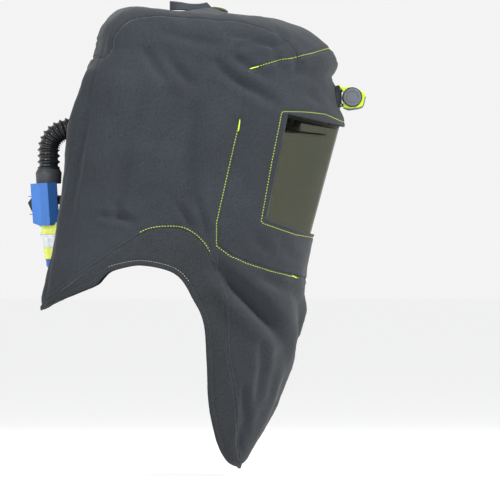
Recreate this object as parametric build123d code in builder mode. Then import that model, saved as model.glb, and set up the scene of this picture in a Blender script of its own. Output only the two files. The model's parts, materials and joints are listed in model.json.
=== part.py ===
from build123d import *

import os
from math import atan, cos, pi, radians, sin, sqrt

# A ventilated protective hood: a sewn fabric hood with a curved tinted lens, worn over a hard hat,
# with a blower and hose at the back and a lamp on the brow.
# Frame: +X is the way the wearer faces, +Y the wearer's left, +Z up, in millimetres.
# The origin is the middle of the hard hat's headband, where the wearer's head sits.

os.makedirs("parts", exist_ok=True)

REACH = 400.0  # longer than half of any side, for tools that cut right through


def save(piece, name):
    """Labels a finished piece and writes it to its own file."""
    piece.part.label = name
    export_step(piece.part, f"parts/{name}.step")


def leaning_plane(x, z, lean, y=0.0):
    """A level plane at (x, y, z), tipped nose down by lean degrees."""
    angle = radians(lean)
    return Plane(origin=(x, y, z), x_dir=(cos(angle), 0, -sin(angle)), z_dir=(sin(angle), 0, cos(angle)))


def side_prism(outline, half=REACH):
    """A prism across the width, from a side outline of (X, Z) points."""
    with BuildPart() as prism:
        with BuildSketch(Plane.XZ):
            with BuildLine():
                Polyline(*outline, close=True)
            make_face()
        extrude(amount=half, both=True)
    return prism.part


def cross_pin(x, z, radius, low_y, high_y):
    """A round bar across the width, along Y."""
    plane = Plane(origin=(x, low_y, z), x_dir=(1, 0, 0), z_dir=(0, 1, 0))
    with BuildPart() as pin:
        with BuildSketch(plane):
            Circle(radius)
        extrude(amount=high_y - low_y)
    return pin.part


def block(x_range, y_range, z_range):
    """A plain box between two values on each axis."""
    with BuildPart() as box:
        with Locations((sum(x_range) / 2, sum(y_range) / 2, sum(z_range) / 2)):
            Box(x_range[1] - x_range[0], y_range[1] - y_range[0], z_range[1] - z_range[0])
    return box.part


# ================================================================ fabric hood
FABRIC = 3.0  # quilted layers of flame-resistant cloth
AROUND = 24  # points round one level of the hood
CROWN_HALF_STRIP = 112.0  # half width of the crown panel
BACK_HALF_STRIP = 78.0  # half width of the back panel

# Each level: height on the origin's axis, forward lean in degrees, front, back, half width, hollow of the back.
HOOD_LEVELS = [
    (-560, 0.0, 8, -296, 62, 24),
    (-500, 0.0, 54, -299, 98, 31),
    (-420, 0.0, 92, -298, 126, 36),
    (-340, 0.0, 120, -295, 146, 40),
    (-270, 0.0, 130, -289, 156, 42),
    (-174, 0.0, 145, -271, 153, 38),
    (-85, 0.0, 169.3, -261, 149.5, 34),
    (-25, 5.0, 181.3, -250, 148.5, 28),
    (34, 10.0, 193, -224, 147, 17),
    (66, 8.0, 182.5, -207, 143, 6),
]
CROWN_TOP = 171.0
CROWN_LEAN = 4.5
CROWN_DEPTH = 66.0  # how far below the top the crown starts to round over
CROWN_FRONT, CROWN_BACK, CROWN_HALF = 182.0, -190.0, 138.0
ROUND_FRONT, ROUND_BACK, ROUND_SIDE = 125.0, 55.0, 56.0  # how far the rounding reaches in at the top
CROWN_SHARES = (1.0, 0.7, 0.4, 0.16, 0.04, 0.0)  # the depths of its levels


def hood_outline(front, back, half_width, hollow, lean, inset):
    """Points round one level of the hood: an oval front, a squarer back with a hollow middle."""
    middle = front - half_width * 1.06
    front_reach = front - inset - middle
    back_reach = middle - back - inset
    width = half_width - inset
    points = []
    for step in range(AROUND):
        angle = 2 * pi * step / AROUND
        along, across = cos(angle), sin(angle)
        side = 1 if across >= 0 else -1
        if along >= 0:
            x, y = middle + front_reach * along, width * across
        else:
            x = middle - back_reach * abs(along) ** 0.3
            y = width * abs(across) ** 0.72 * side
            x += hollow * max(0.0, 1 - (y / (0.7 * width)) ** 4) ** 2
        points.append((x / cos(radians(lean)), y))
    return points


def hood_form(inset):
    """The hood as a closed form, drawn in by inset from its outer face."""
    with BuildPart() as form:
        for height, lean, front, back, half_width, hollow in HOOD_LEVELS:
            with BuildSketch(leaning_plane(0, height, lean)):
                with BuildLine():
                    Spline(*hood_outline(front, back, half_width, hollow, lean, inset), periodic=True)
                make_face()
        for share in CROWN_SHARES:
            turn = 1 - sqrt(1 - (1 - share) ** 2)  # a quarter round, from 0 at the side to 1 on top
            height = CROWN_TOP - inset - (CROWN_DEPTH - inset) * share
            front = CROWN_FRONT - (ROUND_FRONT - inset) * turn
            back = CROWN_BACK + (ROUND_BACK - inset) * turn
            half_width = CROWN_HALF - (ROUND_SIDE - inset) * turn
            with BuildSketch(leaning_plane(0, height, CROWN_LEAN)):
                with BuildLine():
                    Spline(*hood_outline(front, back, half_width, 0, CROWN_LEAN, inset), periodic=True)
                make_face()
        loft()
    return form.part


hood_outer = hood_form(0)
hood_inner = hood_form(FABRIC)

# Side outlines as (X, Z).
SHOULDER_ARCH = [(-276, -287), (-248, -272), (-194, -250), (-168, -226), (-125, -217), (-84, -225), (-50, -250)]
BIB_EDGE = [(-50, -250), (-25, -305), (-20, -370), (-17, -432), (-6, -485), (10, -519), (29, -531)]
BAND_SEAM = [(-290, -278), (-262, -268), (-203, -225), (-140, -181), (-106, -165), (-75, -161), (-46, -168),
             (-20, -197), (0, -250), (9, -303), (12, -355), (22, -407), (27, -476), (33, -545)]
WINDOW_PANEL = [(230, 128), (167, 114), (100, 98), (43, 81), (34, 7), (16, -72), (-2, -152), (-2, -186),
                (50, -208), (121, -234), (230, -262)]
BELOW_WINDOW = [(-2, -186), (50, -208), (121, -234), (230, -262), (330, -262), (330, -600), (-2, -600)]
LENS_OPENING = [(230, -10), (188, -2), (105, 14), (88.5, -66), (72, -147), (141, -169), (230, -186)]
CROWN_REGION = [(-330, 112), (-120, 96), (43, 80), (330, 120), (330, 300), (-330, 300)]

with BuildPart() as above_hem:  # everything above the shoulder arches and the bib's edge
    with BuildSketch(Plane.XZ):
        with BuildLine():
            Spline(*SHOULDER_ARCH, tangents=[(1, 0.5), (1, -1.3)])
            Spline(*BIB_EDGE, tangents=[(1, -1.3), (1, 0)])
            Polyline((29, -531), (330, -531), (330, 300), (-360, 300), (-360, -287), (-276, -287))
        make_face()
    extrude(amount=REACH, both=True)

with BuildPart() as above_band:  # everything above the seam of the shoulder bands
    with BuildSketch(Plane.XZ):
        with BuildLine():
            Spline(*BAND_SEAM)
            Polyline((33, -545), (330, -545), (330, 300), (-360, 300), (-360, -278), (-290, -278))
        make_face()
    extrude(amount=REACH, both=True)

# The hose comes through the back panel here, square to the cloth.
PORT_X, PORT_Z = -222.5, -2.0
PORT_RISE = 8.6  # degrees that the cloth there faces upwards
PORT_HOLE = 18.0
port_plane = Plane(
    origin=(PORT_X, 0, PORT_Z),
    x_dir=(0, -1, 0),
    z_dir=(-cos(radians(PORT_RISE)), 0, sin(radians(PORT_RISE))),
)
LAMP_SCREW_Y, LAMP_SCREW_Z = 18.0, 46.0
LAMP_SCREW_R = 2.0

with BuildPart() as hood_trimmed:
    add(hood_outer)
    add(hood_inner, mode=Mode.SUBTRACT)
    add(above_hem.part, mode=Mode.INTERSECT)
    with BuildSketch(port_plane):
        Circle(PORT_HOLE)
    extrude(amount=30, both=True, mode=Mode.SUBTRACT)

window_region = side_prism(WINDOW_PANEL)
below_window = side_prism(BELOW_WINDOW)
crown_strip = block((-REACH, REACH), (-CROWN_HALF_STRIP, CROWN_HALF_STRIP), (-REACH, REACH))
back_strip = block((-REACH, 0), (-BACK_HALF_STRIP, BACK_HALF_STRIP), (-2 * REACH, REACH))

with BuildPart() as window_panel:
    add(hood_trimmed.part)
    add(window_region, mode=Mode.INTERSECT)
    add(side_prism(LENS_OPENING), mode=Mode.SUBTRACT)
    with BuildSketch(Plane.YZ):
        with Locations((-LAMP_SCREW_Y, LAMP_SCREW_Z), (LAMP_SCREW_Y, LAMP_SCREW_Z)):
            Circle(LAMP_SCREW_R)
    extrude(amount=REACH, mode=Mode.SUBTRACT)
save(window_panel, "window_panel")

with BuildPart() as bands:
    add(hood_trimmed.part)
    add(above_band.part, mode=Mode.SUBTRACT)

with BuildPart() as main_cloth:
    add(hood_trimmed.part)
    add(above_band.part, mode=Mode.INTERSECT)
    add(window_region, mode=Mode.SUBTRACT)

with BuildPart() as front_bib:
    add(main_cloth.part)
    add(below_window, mode=Mode.INTERSECT)
save(front_bib, "front_bib")

with BuildPart() as upper_cloth:
    add(main_cloth.part)
    add(below_window, mode=Mode.SUBTRACT)

with BuildPart() as crown_tool:
    add(side_prism(CROWN_REGION))
    add(crown_strip, mode=Mode.INTERSECT)

with BuildPart() as crown_panel:
    add(upper_cloth.part)
    add(crown_tool.part, mode=Mode.INTERSECT)
save(crown_panel, "crown_panel")

with BuildPart() as lower_cloth:
    add(upper_cloth.part)
    add(crown_tool.part, mode=Mode.SUBTRACT)

with BuildPart() as back_panel:
    add(lower_cloth.part)
    add(back_strip, mode=Mode.INTERSECT)
save(back_panel, "back_panel")

left_half = block((-REACH, REACH), (0, REACH), (-2 * REACH, REACH))
with BuildPart() as side_panel_left:
    add(lower_cloth.part)
    add(back_strip, mode=Mode.SUBTRACT)
    add(left_half, mode=Mode.INTERSECT)
save(side_panel_left, "side_panel_left")

with BuildPart() as side_panel_right:
    mirror(side_panel_left.part, about=Plane.XZ)
save(side_panel_right, "side_panel_right")

with BuildPart() as shoulder_band_left:
    add(bands.part)
    add(left_half, mode=Mode.INTERSECT)
save(shoulder_band_left, "shoulder_band_left")

with BuildPart() as shoulder_band_right:
    mirror(shoulder_band_left.part, about=Plane.XZ)
save(shoulder_band_right, "shoulder_band_right")

# ---------------------------------------------------------------- hanging loop on the crown
LOOP_PIVOT_X, LOOP_PIVOT_Z = -18.0, 178.6
LOOP_BACK = -78.0
LOOP_HALF = 15.2  # outside half width of the tape loop
TAPE = 2.0
LOOP_LOW, LOOP_HIGH = 179.2, 192.5
TAB_HALF = 12.8

with BuildPart() as hang_loop:  # webbing on edge, bent to a U and sewn round a cord in the tab
    with BuildSketch(Plane.XY.offset(LOOP_LOW)):
        with Locations(((LOOP_BACK + LOOP_HALF + LOOP_PIVOT_X) / 2, 0)):
            Rectangle(LOOP_PIVOT_X - LOOP_BACK - LOOP_HALF, 2 * LOOP_HALF)
        with Locations((LOOP_BACK + LOOP_HALF, 0)):
            Circle(LOOP_HALF)
            Circle(LOOP_HALF - TAPE, mode=Mode.SUBTRACT)
        with Locations(((LOOP_BACK + LOOP_HALF + LOOP_PIVOT_X) / 2, 0)):
            Rectangle(LOOP_PIVOT_X - LOOP_BACK - LOOP_HALF, 2 * (LOOP_HALF - TAPE), mode=Mode.SUBTRACT)
    extrude(amount=LOOP_HIGH - LOOP_LOW)
    add(cross_pin(LOOP_PIVOT_X, LOOP_PIVOT_Z, 1.6, -LOOP_HALF, LOOP_HALF))
save(hang_loop, "hang_loop")

with BuildPart() as hang_loop_tab:  # the sewn tab that holds the loop's cord
    add(side_prism([(-22, 160), (-22, 180.0), (-16, 182.0), (-4, 182.0), (11.5, 177.8), (11.5, 160)], TAB_HALF))
    add(hood_outer, mode=Mode.SUBTRACT)
    add(cross_pin(LOOP_PIVOT_X, LOOP_PIVOT_Z, 1.66, -TAB_HALF, TAB_HALF), mode=Mode.SUBTRACT)
save(hang_loop_tab, "hang_loop_tab")

# ================================================================ curved lens
LENS = 2.0  # sheet thickness
LENS_HIGH, LENS_LOW = 30.0, -205.0  # levels of the cone it is cut from


def lens_cone(inset):
    """The leaning cone that the lens is bent to, drawn in by inset."""
    with BuildPart() as cone:
        for level in (LENS_LOW, LENS_HIGH):
            above = level + 2.0
            centre = 37.4 + 0.3236 * above
            with BuildSketch(Plane(origin=(centre, 0, level))):
                Ellipse(148.0 - 0.0539 * above - inset, 141.5 - 0.0442 * above - inset)
        loft(ruled=True)
    return cone.part


lens_outside = lens_cone(0)
lens_inside = lens_cone(LENS)
RAIL = 3.5  # radial thickness of the rails behind the lens
rail_inside = lens_cone(LENS + RAIL)
LENS_SHAPE = [(97, 20.5), (97, 19.5), (188, 1.5), (230, -7), (230, -196), (141, -177), (64, -155)]
TOP_RAIL = [(97, 18.0), (188, 0.5), (230, -8), (230, -16), (188, -8), (95.5, 10.5)]
LOW_RAIL = [(65.5, -152.5), (64, -155), (141, -177), (230, -196), (230, -188), (141, -169.5), (66, -147)]
RIVET_R = 1.6


def rivet_planes():
    """A plane at each rivet, on the inner face of the rails, looking outwards."""
    planes = []
    for turn_top, turn_low in ((-52, -50), (-26, -25), (0, 0), (26, 25), (52, 50)):
        for turn, rail_x in ((turn_top, True), (turn_low, False)):
            angle = radians(turn)
            across = sin(angle) * 141.0
            if rail_x:
                x = 40.0 + 142.0 * cos(angle)
                z = -4.0 + (188 - x) * 0.196
            else:
                x = -17.0 + 151.5 * cos(angle)
                z = -173.0 + (141 - x) * 0.26
                across = sin(angle) * 143.5
            planes.append(Plane(origin=(x, across, z), x_dir=(-sin(angle), cos(angle), 0),
                                z_dir=(cos(angle), sin(angle), 0)))
    return planes


with BuildPart() as rivet_stems:
    for plane in rivet_planes():
        with BuildSketch(plane):
            Circle(RIVET_R)
        extrude(amount=14, both=True)

with BuildPart() as lens:
    add(lens_outside)
    add(lens_inside, mode=Mode.SUBTRACT)
    add(side_prism(LENS_SHAPE), mode=Mode.INTERSECT)
    add(rivet_stems.part, mode=Mode.SUBTRACT)
save(lens, "lens")

for name, outline in (("lens_rail_top", TOP_RAIL), ("lens_rail_bottom", LOW_RAIL)):
    with BuildPart() as rail:
        add(lens_inside)
        add(rail_inside, mode=Mode.SUBTRACT)
        add(side_prism(outline), mode=Mode.INTERSECT)
        add(rivet_stems.part, mode=Mode.SUBTRACT)
    save(rail, name)

with BuildPart() as lens_rivets:  # stems through lens and rail, flush both sides
    add(rivet_stems.part)
    add(lens_outside, mode=Mode.INTERSECT)
    add(rail_inside, mode=Mode.SUBTRACT)
save(lens_rivets, "lens_rivets")

# ================================================================ hard hat inside
HAT_LEAN = 6.0
HAT_LENGTH, HAT_WIDTH, HAT_HEIGHT = 270.0, 225.0, 138.0
HAT_BACK_SHIFT = -10.0
HAT_WALL = 2.5
PEAK_TIP = 165.0
hat_plane = leaning_plane(0, 0, HAT_LEAN)


def hat_form(inset):
    """The hard hat's dome as a closed form, drawn in by inset."""
    with BuildPart() as dome:
        for share in (0.0, 0.25, 0.5, 0.72, 0.88, 0.97, 1.0):
            level = (HAT_HEIGHT - inset) * share
            narrow = sqrt(1 - min(share, 0.985) ** 2.4)
            with BuildSketch(hat_plane.offset(level)):
                with Locations((HAT_BACK_SHIFT, 0)):
                    Ellipse((HAT_LENGTH / 2 - inset) * narrow, (HAT_WIDTH / 2 - inset) * narrow)
        loft()
    return dome.part


hat_outer = hat_form(0)
hat_inner = hat_form(HAT_WALL)

with BuildPart() as hat_shell:
    add(hat_outer)
    with BuildSketch(hat_plane):  # the rim all round, drawn out to the peak in front
        with Locations((HAT_BACK_SHIFT, 0)):
            Ellipse(HAT_LENGTH / 2 + 3, HAT_WIDTH / 2 + 3)
        with Locations((58, 0)):
            Ellipse(PEAK_TIP - 58, 92)
    extrude(amount=2.6)
    add(hat_inner, mode=Mode.SUBTRACT)
save(hat_shell, "hat_shell")

BAND_HALF_LENGTH, BAND_HALF_WIDTH = 98.0, 82.0  # inside of the headband
BAND_WALL = 1.5
BAND_LOW, BAND_HIGH = -24.0, 8.0
NAPE_CENTRE = -29.4  # centre of the nape's round back, forward on the hat plane
NAPE_RADIUS = 68.1  # outer radius of the nape straps
NAPE_WALL = 1.5
STRAP_TALL = 7.0
PINION_LEVEL = -10.0
PINION_R = 3.8


def band_sector(half_length, half_width, wall, low, high, half_angle, centre=0.0):
    """An upright oval band on the hat plane, kept within half_angle of straight ahead."""
    far = 200.0
    with BuildPart() as band:
        with BuildSketch(hat_plane.offset(low)):
            with Locations((centre, 0)):
                Ellipse(half_length, half_width)
                Ellipse(half_length - wall, half_width - wall, mode=Mode.SUBTRACT)
            with BuildLine():
                Polyline(
                    (0, 0),
                    (far * cos(half_angle), far * sin(half_angle)),
                    (-far, far), (-far, -far),
                    (far * cos(half_angle), -far * sin(half_angle)),
                    close=True,
                )
            make_face(mode=Mode.SUBTRACT)
        extrude(amount=high - low)
    return band.part


def nape_arc(inner, outer, low, high, start, end):
    """A round upright band behind the head, between two angles seen from NAPE_CENTRE, in degrees."""
    with BuildPart() as arc:
        with BuildSketch(hat_plane.offset(low)):
            with BuildLine():
                rim = CenterArc((NAPE_CENTRE, 0), outer, start, end - start)
                core = CenterArc((NAPE_CENTRE, 0), inner, start, end - start)
                Line(rim @ 0, core @ 0)
                Line(rim @ 1, core @ 1)
            make_face()
        extrude(amount=high - low)
    return arc.part


with BuildPart() as headband:
    add(band_sector(BAND_HALF_LENGTH + BAND_WALL, BAND_HALF_WIDTH + BAND_WALL, BAND_WALL,
                    BAND_LOW, BAND_HIGH, radians(146)))
save(headband, "headband")

with BuildPart() as brow_pad:
    add(band_sector(BAND_HALF_LENGTH - 0.3, BAND_HALF_WIDTH - 0.3, 4.5, BAND_LOW + 2, 3.5, radians(48)))
save(brow_pad, "brow_pad")

NAPE_REACH = 54.0  # degrees from the middle of the back to a strap's end
NAPE_LAP = 7.0
for name, low, start, end in (
    ("nape_strap_left", PINION_LEVEL + 4.0, 180 - NAPE_REACH, 180 + NAPE_LAP),
    ("nape_strap_right", PINION_LEVEL - 4.0 - STRAP_TALL, 180 - NAPE_LAP, 180 + NAPE_REACH),
):
    with BuildPart() as nape_strap:
        add(nape_arc(NAPE_RADIUS - NAPE_WALL, NAPE_RADIUS, low, low + STRAP_TALL, start, end))
    save(nape_strap, name)

nape_back = NAPE_CENTRE - NAPE_RADIUS
knob_axis = Plane(
    origin=hat_plane.from_local_coords((nape_back, 0, PINION_LEVEL)),
    x_dir=(0, 1, 0),
    z_dir=-hat_plane.x_dir,
)
with BuildPart() as ratchet_housing:  # a curved box round the crossing straps
    add(nape_arc(NAPE_RADIUS - 4.5, NAPE_RADIUS + 5.0, PINION_LEVEL - 15, PINION_LEVEL + 15, 160, 200))
    add(nape_arc(NAPE_RADIUS - 2.2, NAPE_RADIUS + 0.7, PINION_LEVEL - 11.6, PINION_LEVEL + 11.6, 155, 205),
        mode=Mode.SUBTRACT)
    with BuildSketch(knob_axis):
        Circle(PINION_R + 0.3)
    extrude(amount=12, both=True, mode=Mode.SUBTRACT)
save(ratchet_housing, "ratchet_housing")

KNOB_R = 17.0
with BuildPart() as ratchet_knob:  # the knob and the pinion that draws the straps in
    with BuildSketch(knob_axis.offset(5.6)):
        Circle(KNOB_R)
        with PolarLocations(KNOB_R + 1.2, 10):
            Circle(3.2, mode=Mode.SUBTRACT)
    extrude(amount=13)
    fillet(ratchet_knob.faces().sort_by(Axis.X)[0].edges(), 1.0)
    with BuildSketch(knob_axis.offset(-2.0)):
        Circle(PINION_R)
    extrude(amount=7.6)
save(ratchet_knob, "ratchet_knob")

with BuildPart() as crown_straps:  # two webbing arches that carry the shell clear of the head
    for turned, half_span, height in ((0, 96.2, 88.0), (90, 80.4, 91.0)):
        arch_x = hat_plane.x_dir if turned == 0 else hat_plane.y_dir
        arch_normal = -hat_plane.y_dir if turned == 0 else hat_plane.x_dir
        arch_plane = Plane(origin=hat_plane.from_local_coords((0, 0, 9)), x_dir=arch_x, z_dir=arch_normal)
        with BuildSketch(arch_plane):
            Ellipse(half_span, height)
            Ellipse(half_span - 1.2, height - 1.2, mode=Mode.SUBTRACT)
            with Locations((0, -REACH / 2)):
                Rectangle(REACH, REACH, mode=Mode.SUBTRACT)
        extrude(amount=10, both=True)
save(crown_straps, "crown_straps")

with BuildPart() as suspension_keys:  # hooks between headband and shell, front, back and both sides
    for u, v, size_u, size_v in ((110, 0, 40, 18), (-125, 0, 60, 18), (0, 97, 18, 40), (0, -97, 18, 40)):
        with BuildSketch(hat_plane.offset(8.2)):
            with Locations((u, v)):
                Rectangle(size_u, size_v)
        extrude(amount=12)
    add(hat_inner, mode=Mode.INTERSECT)
    with BuildSketch(hat_plane.offset(0)):
        Ellipse(BAND_HALF_LENGTH + BAND_WALL, BAND_HALF_WIDTH + BAND_WALL)
    extrude(amount=40, mode=Mode.SUBTRACT)
save(suspension_keys, "suspension_keys")

with BuildPart() as lens_bracket:  # two arms from the hat's rim to the lens rail
    for side in (-1, 1):
        start = Vector(30, side * 98, 4.5)
        finish = Vector(118, side * 119, 4.0)
        arm_plane = Plane(origin=start, x_dir=(0, 0, 1), z_dir=(finish - start).normalized())
        with BuildSketch(arm_plane):
            Rectangle(9, 4)
        extrude(amount=(finish - start).length)
    add(rail_inside, mode=Mode.INTERSECT)
    with BuildSketch(hat_plane.offset(-60)):
        with Locations((HAT_BACK_SHIFT, 0)):
            Ellipse(HAT_LENGTH / 2 + 3, HAT_WIDTH / 2 + 3)
        with Locations((58, 0)):
            Ellipse(PEAK_TIP - 58, 92)
    extrude(amount=120, mode=Mode.SUBTRACT)
save(lens_bracket, "lens_bracket")

# ================================================================ hose from the blower to the hood
HOSE_X = -265.5
HOSE_CREST, HOSE_ROOT, HOSE_BORE = 17.5, 15.2, 13.6
HOSE_FOOT = -76.0  # where the hose ends inside its cuff
BEND_Z = -39.0
BEND_R = 32.0
BEND_TURN = 73.0
HOSE_TAIL = 13.5  # straight stretch between the bend and the port
RING_PITCH = 10.0
RING_WIDE = 4.0

turn = radians(BEND_TURN)
bend_end = Vector(HOSE_X + BEND_R * (1 - cos(turn)), 0, BEND_Z + BEND_R * sin(turn))
hose_way = Vector(sin(turn), 0, cos(turn))
hose_end = bend_end + hose_way * HOSE_TAIL
bend_length = BEND_R * turn
hose_length = (BEND_Z - HOSE_FOOT) + bend_length + HOSE_TAIL


def hose_station(travel):
    """The plane across the hose's centreline at this distance from its foot."""
    rise = BEND_Z - HOSE_FOOT
    if travel <= rise:
        return Plane(origin=(HOSE_X, 0, HOSE_FOOT + travel), x_dir=(0, 1, 0), z_dir=(0, 0, 1))
    if travel <= rise + bend_length:
        angle = (travel - rise) / BEND_R
        centre = Vector(HOSE_X + BEND_R * (1 - cos(angle)), 0, BEND_Z + BEND_R * sin(angle))
        return Plane(origin=centre, x_dir=(0, 1, 0), z_dir=(sin(angle), 0, cos(angle)))
    centre = bend_end + hose_way * (travel - rise - bend_length)
    return Plane(origin=centre, x_dir=(0, 1, 0), z_dir=hose_way)


def hose_tube(radius):
    """A round bar along the hose's whole centreline."""
    with BuildPart() as tube:
        with BuildLine(Plane.XZ):
            Line((HOSE_X, HOSE_FOOT), (HOSE_X, BEND_Z))
            CenterArc((HOSE_X + BEND_R, BEND_Z), BEND_R, 180, -BEND_TURN)
            Line((bend_end.X, bend_end.Z), (hose_end.X, hose_end.Z))
        with BuildSketch(hose_station(0)):
            Circle(radius)
        sweep()
    return tube.part


with BuildPart() as air_hose:
    add(hose_tube(HOSE_ROOT))
    ring = 0
    while (ring + 0.9) * RING_PITCH + RING_WIDE < hose_length:
        with BuildSketch(hose_station((ring + 0.9) * RING_PITCH)):
            Circle(HOSE_CREST)
        extrude(amount=RING_WIDE)
        ring += 1
    add(hose_tube(HOSE_BORE), mode=Mode.SUBTRACT)
save(air_hose, "air_hose")

CUFF_R, CUFF_HIGH, CUFF_LOW = 20.2, -73.5, -91.0
SPIGOT_R = 10.0
with BuildPart() as hose_cuff:  # a smooth rubber collar, its socket round the hose's foot
    with BuildSketch(Plane.XZ.shift_origin((HOSE_X, 0, 0))):
        with BuildLine():
            Polyline(
                (SPIGOT_R, CUFF_LOW), (CUFF_R - 0.9, CUFF_LOW), (CUFF_R, CUFF_HIGH), (16.8, -67.5),
                (HOSE_ROOT, -67.5), (HOSE_ROOT, HOSE_FOOT), (SPIGOT_R, HOSE_FOOT), close=True,
            )
        make_face()
    revolve(axis=Axis((HOSE_X, 0, 0), (0, 0, 1)))
    add(hose_tube(HOSE_ROOT), mode=Mode.SUBTRACT)
save(hose_cuff, "hose_cuff")

PORT_FLANGE_R, PORT_FLANGE = 27.0, 3.0
with BuildPart() as hose_port:  # flanged stub through the cloth, turned down to meet the hose
    with BuildSketch(port_plane):
        Circle(PORT_FLANGE_R)
    extrude(amount=PORT_FLANGE)
    with BuildSketch(port_plane):
        Circle(PORT_HOLE - 0.4)
    extrude(amount=-10)
    hose_mouth = Plane(origin=hose_end, x_dir=(0, 1, 0), z_dir=hose_way)
    with BuildSketch(hose_mouth.offset(-9)):
        Circle(HOSE_BORE)
    extrude(amount=16)
    with BuildSketch(hose_mouth.offset(0.0)):
        Circle(HOSE_ROOT)
    extrude(amount=6)
    with BuildSketch(hose_mouth.offset(-12)):
        Circle(HOSE_BORE - 1.6)
    extrude(amount=26, mode=Mode.SUBTRACT)
    with BuildSketch(port_plane.offset(-1)):
        Circle(HOSE_BORE - 1.6)
    extrude(amount=-14, mode=Mode.SUBTRACT)
    add(air_hose.part, mode=Mode.SUBTRACT)
    add(hood_trimmed.part, mode=Mode.SUBTRACT)
save(hose_port, "hose_port")

with BuildPart() as port_nut:
    with BuildSketch(port_plane.offset(-10)):
        RegularPolygon(24, 8)
        Circle(PORT_HOLE - 0.4, mode=Mode.SUBTRACT)
    extrude(amount=6)
    add(hood_outer, mode=Mode.INTERSECT)
    add(hood_trimmed.part, mode=Mode.SUBTRACT)
save(port_nut, "port_nut")

# ---------------------------------------------------------------- duct over the hat to the brow
DUCT_THICK, DUCT_HALF, DUCT_WALL = 12.0, 27.0, 1.5
DUCT_ROUTE = [(-208, 2), (-186, 8), (-172, 70), (-146, 128), (-86, 155), (24, 153.5), (98, 128), (133, 98)]
DUCT_RADII = [10, 40, 50, 60, 90, 60]

ducts = {}
for wall in (0, DUCT_WALL):
    with BuildPart() as duct_bar:
        with BuildSketch(Plane.XZ):
            with BuildLine():
                FilletPolyline(*DUCT_ROUTE, radius=DUCT_RADII)
            trace(line_width=DUCT_THICK - 2 * wall)
        extrude(amount=DUCT_HALF - wall, both=True)
    ducts[wall] = duct_bar.part

with BuildPart() as inner_duct:
    add(ducts[0])
    add(ducts[DUCT_WALL], mode=Mode.SUBTRACT)
save(inner_duct, "inner_duct")

with BuildPart() as brow_manifold:  # a hollow nozzle that turns the air down over the lens
    add(side_prism([(126, 91), (139, 106), (158, 92), (158, 66), (134, 66), (126, 78)], 46))
    add(side_prism([(129, 92), (138, 102), (155.5, 90), (155.5, 60), (136.5, 60), (129, 80)], 43.5),
        mode=Mode.SUBTRACT)
    add(ducts[0], mode=Mode.SUBTRACT)
save(brow_manifold, "brow_manifold")

# ================================================================ blower
BLOWER_TILT = 3.8  # degrees, its foot towards the hood
tilt = radians(BLOWER_TILT)
# On this plane x is forward and y is to the left; the normal is up the blower.
blower = Plane(origin=(-271.2, 0, -122.5), x_dir=(cos(tilt), 0, sin(tilt)), z_dir=(-sin(tilt), 0, cos(tilt)))
# Side view of the same: x is forward, y is up the blower.
blower_side = Plane(origin=blower.origin, x_dir=blower.x_dir, z_dir=-blower.y_dir)
# Looking out backwards: x is to the left, y is up the blower, the normal is forward.
blower_rear = Plane(origin=blower.origin, x_dir=(0, 1, 0), z_dir=blower.x_dir)
CASE_DEEP, CASE_HALF_WIDE, CASE_FACET = 20.0, 37.5, 13.5
CASE_TOP, CASE_FOOT = 32.5, -33.5
CASE_WALL = 2.2


def blower_form(inset):
    """The blower's eight-sided body, drawn in by inset."""
    deep, wide = CASE_DEEP - inset, CASE_HALF_WIDE - inset
    facet = CASE_FACET - inset * 0.6
    with BuildPart() as body:
        with BuildSketch(blower.offset(CASE_FOOT + inset)):
            with BuildLine():
                Polyline(
                    (-deep, -wide + facet), (-deep + facet, -wide), (deep - facet, -wide), (deep, -wide + facet),
                    (deep, wide - facet), (deep - facet, wide), (-deep + facet, wide), (-deep, wide - facet),
                    close=True,
                )
            make_face()
        extrude(amount=CASE_TOP - CASE_FOOT - 2 * inset)
        with BuildSketch(blower_side):  # bevel under the back
            with BuildLine():
                Polyline((-25, -26 + inset), (-20, -28.5 + inset), (-8, -34 + inset), (-8, -40), (-25, -40),
                         close=True)
            make_face()
        extrude(amount=60, both=True, mode=Mode.SUBTRACT)
    return body.part


blower_outer = blower_form(0)
SWITCH_HALF, SWITCH_TALL = 10.5, 12.6
RIB_LEVELS = (13.4, -14.4)
SCREWS = [(-19, 24), (19, 24), (-19, -23), (19, -23)]

with BuildPart() as blower_shell:
    add(blower_outer)
    add(blower_form(CASE_WALL), mode=Mode.SUBTRACT)
    with BuildSketch(Plane(origin=(HOSE_X, 0, CUFF_LOW))):
        Circle(CUFF_R + 0.2)
    extrude(amount=20, mode=Mode.SUBTRACT)
    with BuildSketch(Plane(origin=(HOSE_X, 0, CUFF_LOW - 12))):
        Circle(SPIGOT_R)
    extrude(amount=14, mode=Mode.SUBTRACT)

with BuildPart() as blower_case_rear:
    add(blower_shell.part)
    split(bisect_by=blower_rear, keep=Keep.BOTTOM)
    with BuildSketch(blower_rear.offset(-CASE_DEEP)):
        Rectangle(2 * SWITCH_HALF, 2 * SWITCH_TALL)
    extrude(amount=4, mode=Mode.SUBTRACT)
    for level in RIB_LEVELS:  # ridges that guard the rocker
        with BuildSketch(blower_rear.offset(-CASE_DEEP - 4.6)):
            with Locations((0, level)):
                Rectangle(30, 1.2)
        extrude(amount=5.2)
    with Locations(blower_rear.offset(-CASE_DEEP)):
        with Locations(*[Location((x, y, 0), (0, 180, 0)) for x, y in SCREWS]):
            CounterBoreHole(radius=1.4, counter_bore_radius=2.8, counter_bore_depth=1.2, depth=6)
save(blower_case_rear, "blower_case_rear")

with BuildPart() as case_screws:
    for x, y in SCREWS:
        with BuildSketch(blower_rear.offset(-CASE_DEEP)):
            with Locations((x, y)):
                Circle(2.8)
        extrude(amount=1.2)
        with BuildSketch(blower_rear.offset(-CASE_DEEP)):
            with Locations((x, y)):
                Circle(1.4)
        extrude(amount=8)
save(case_screws, "case_screws")

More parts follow.
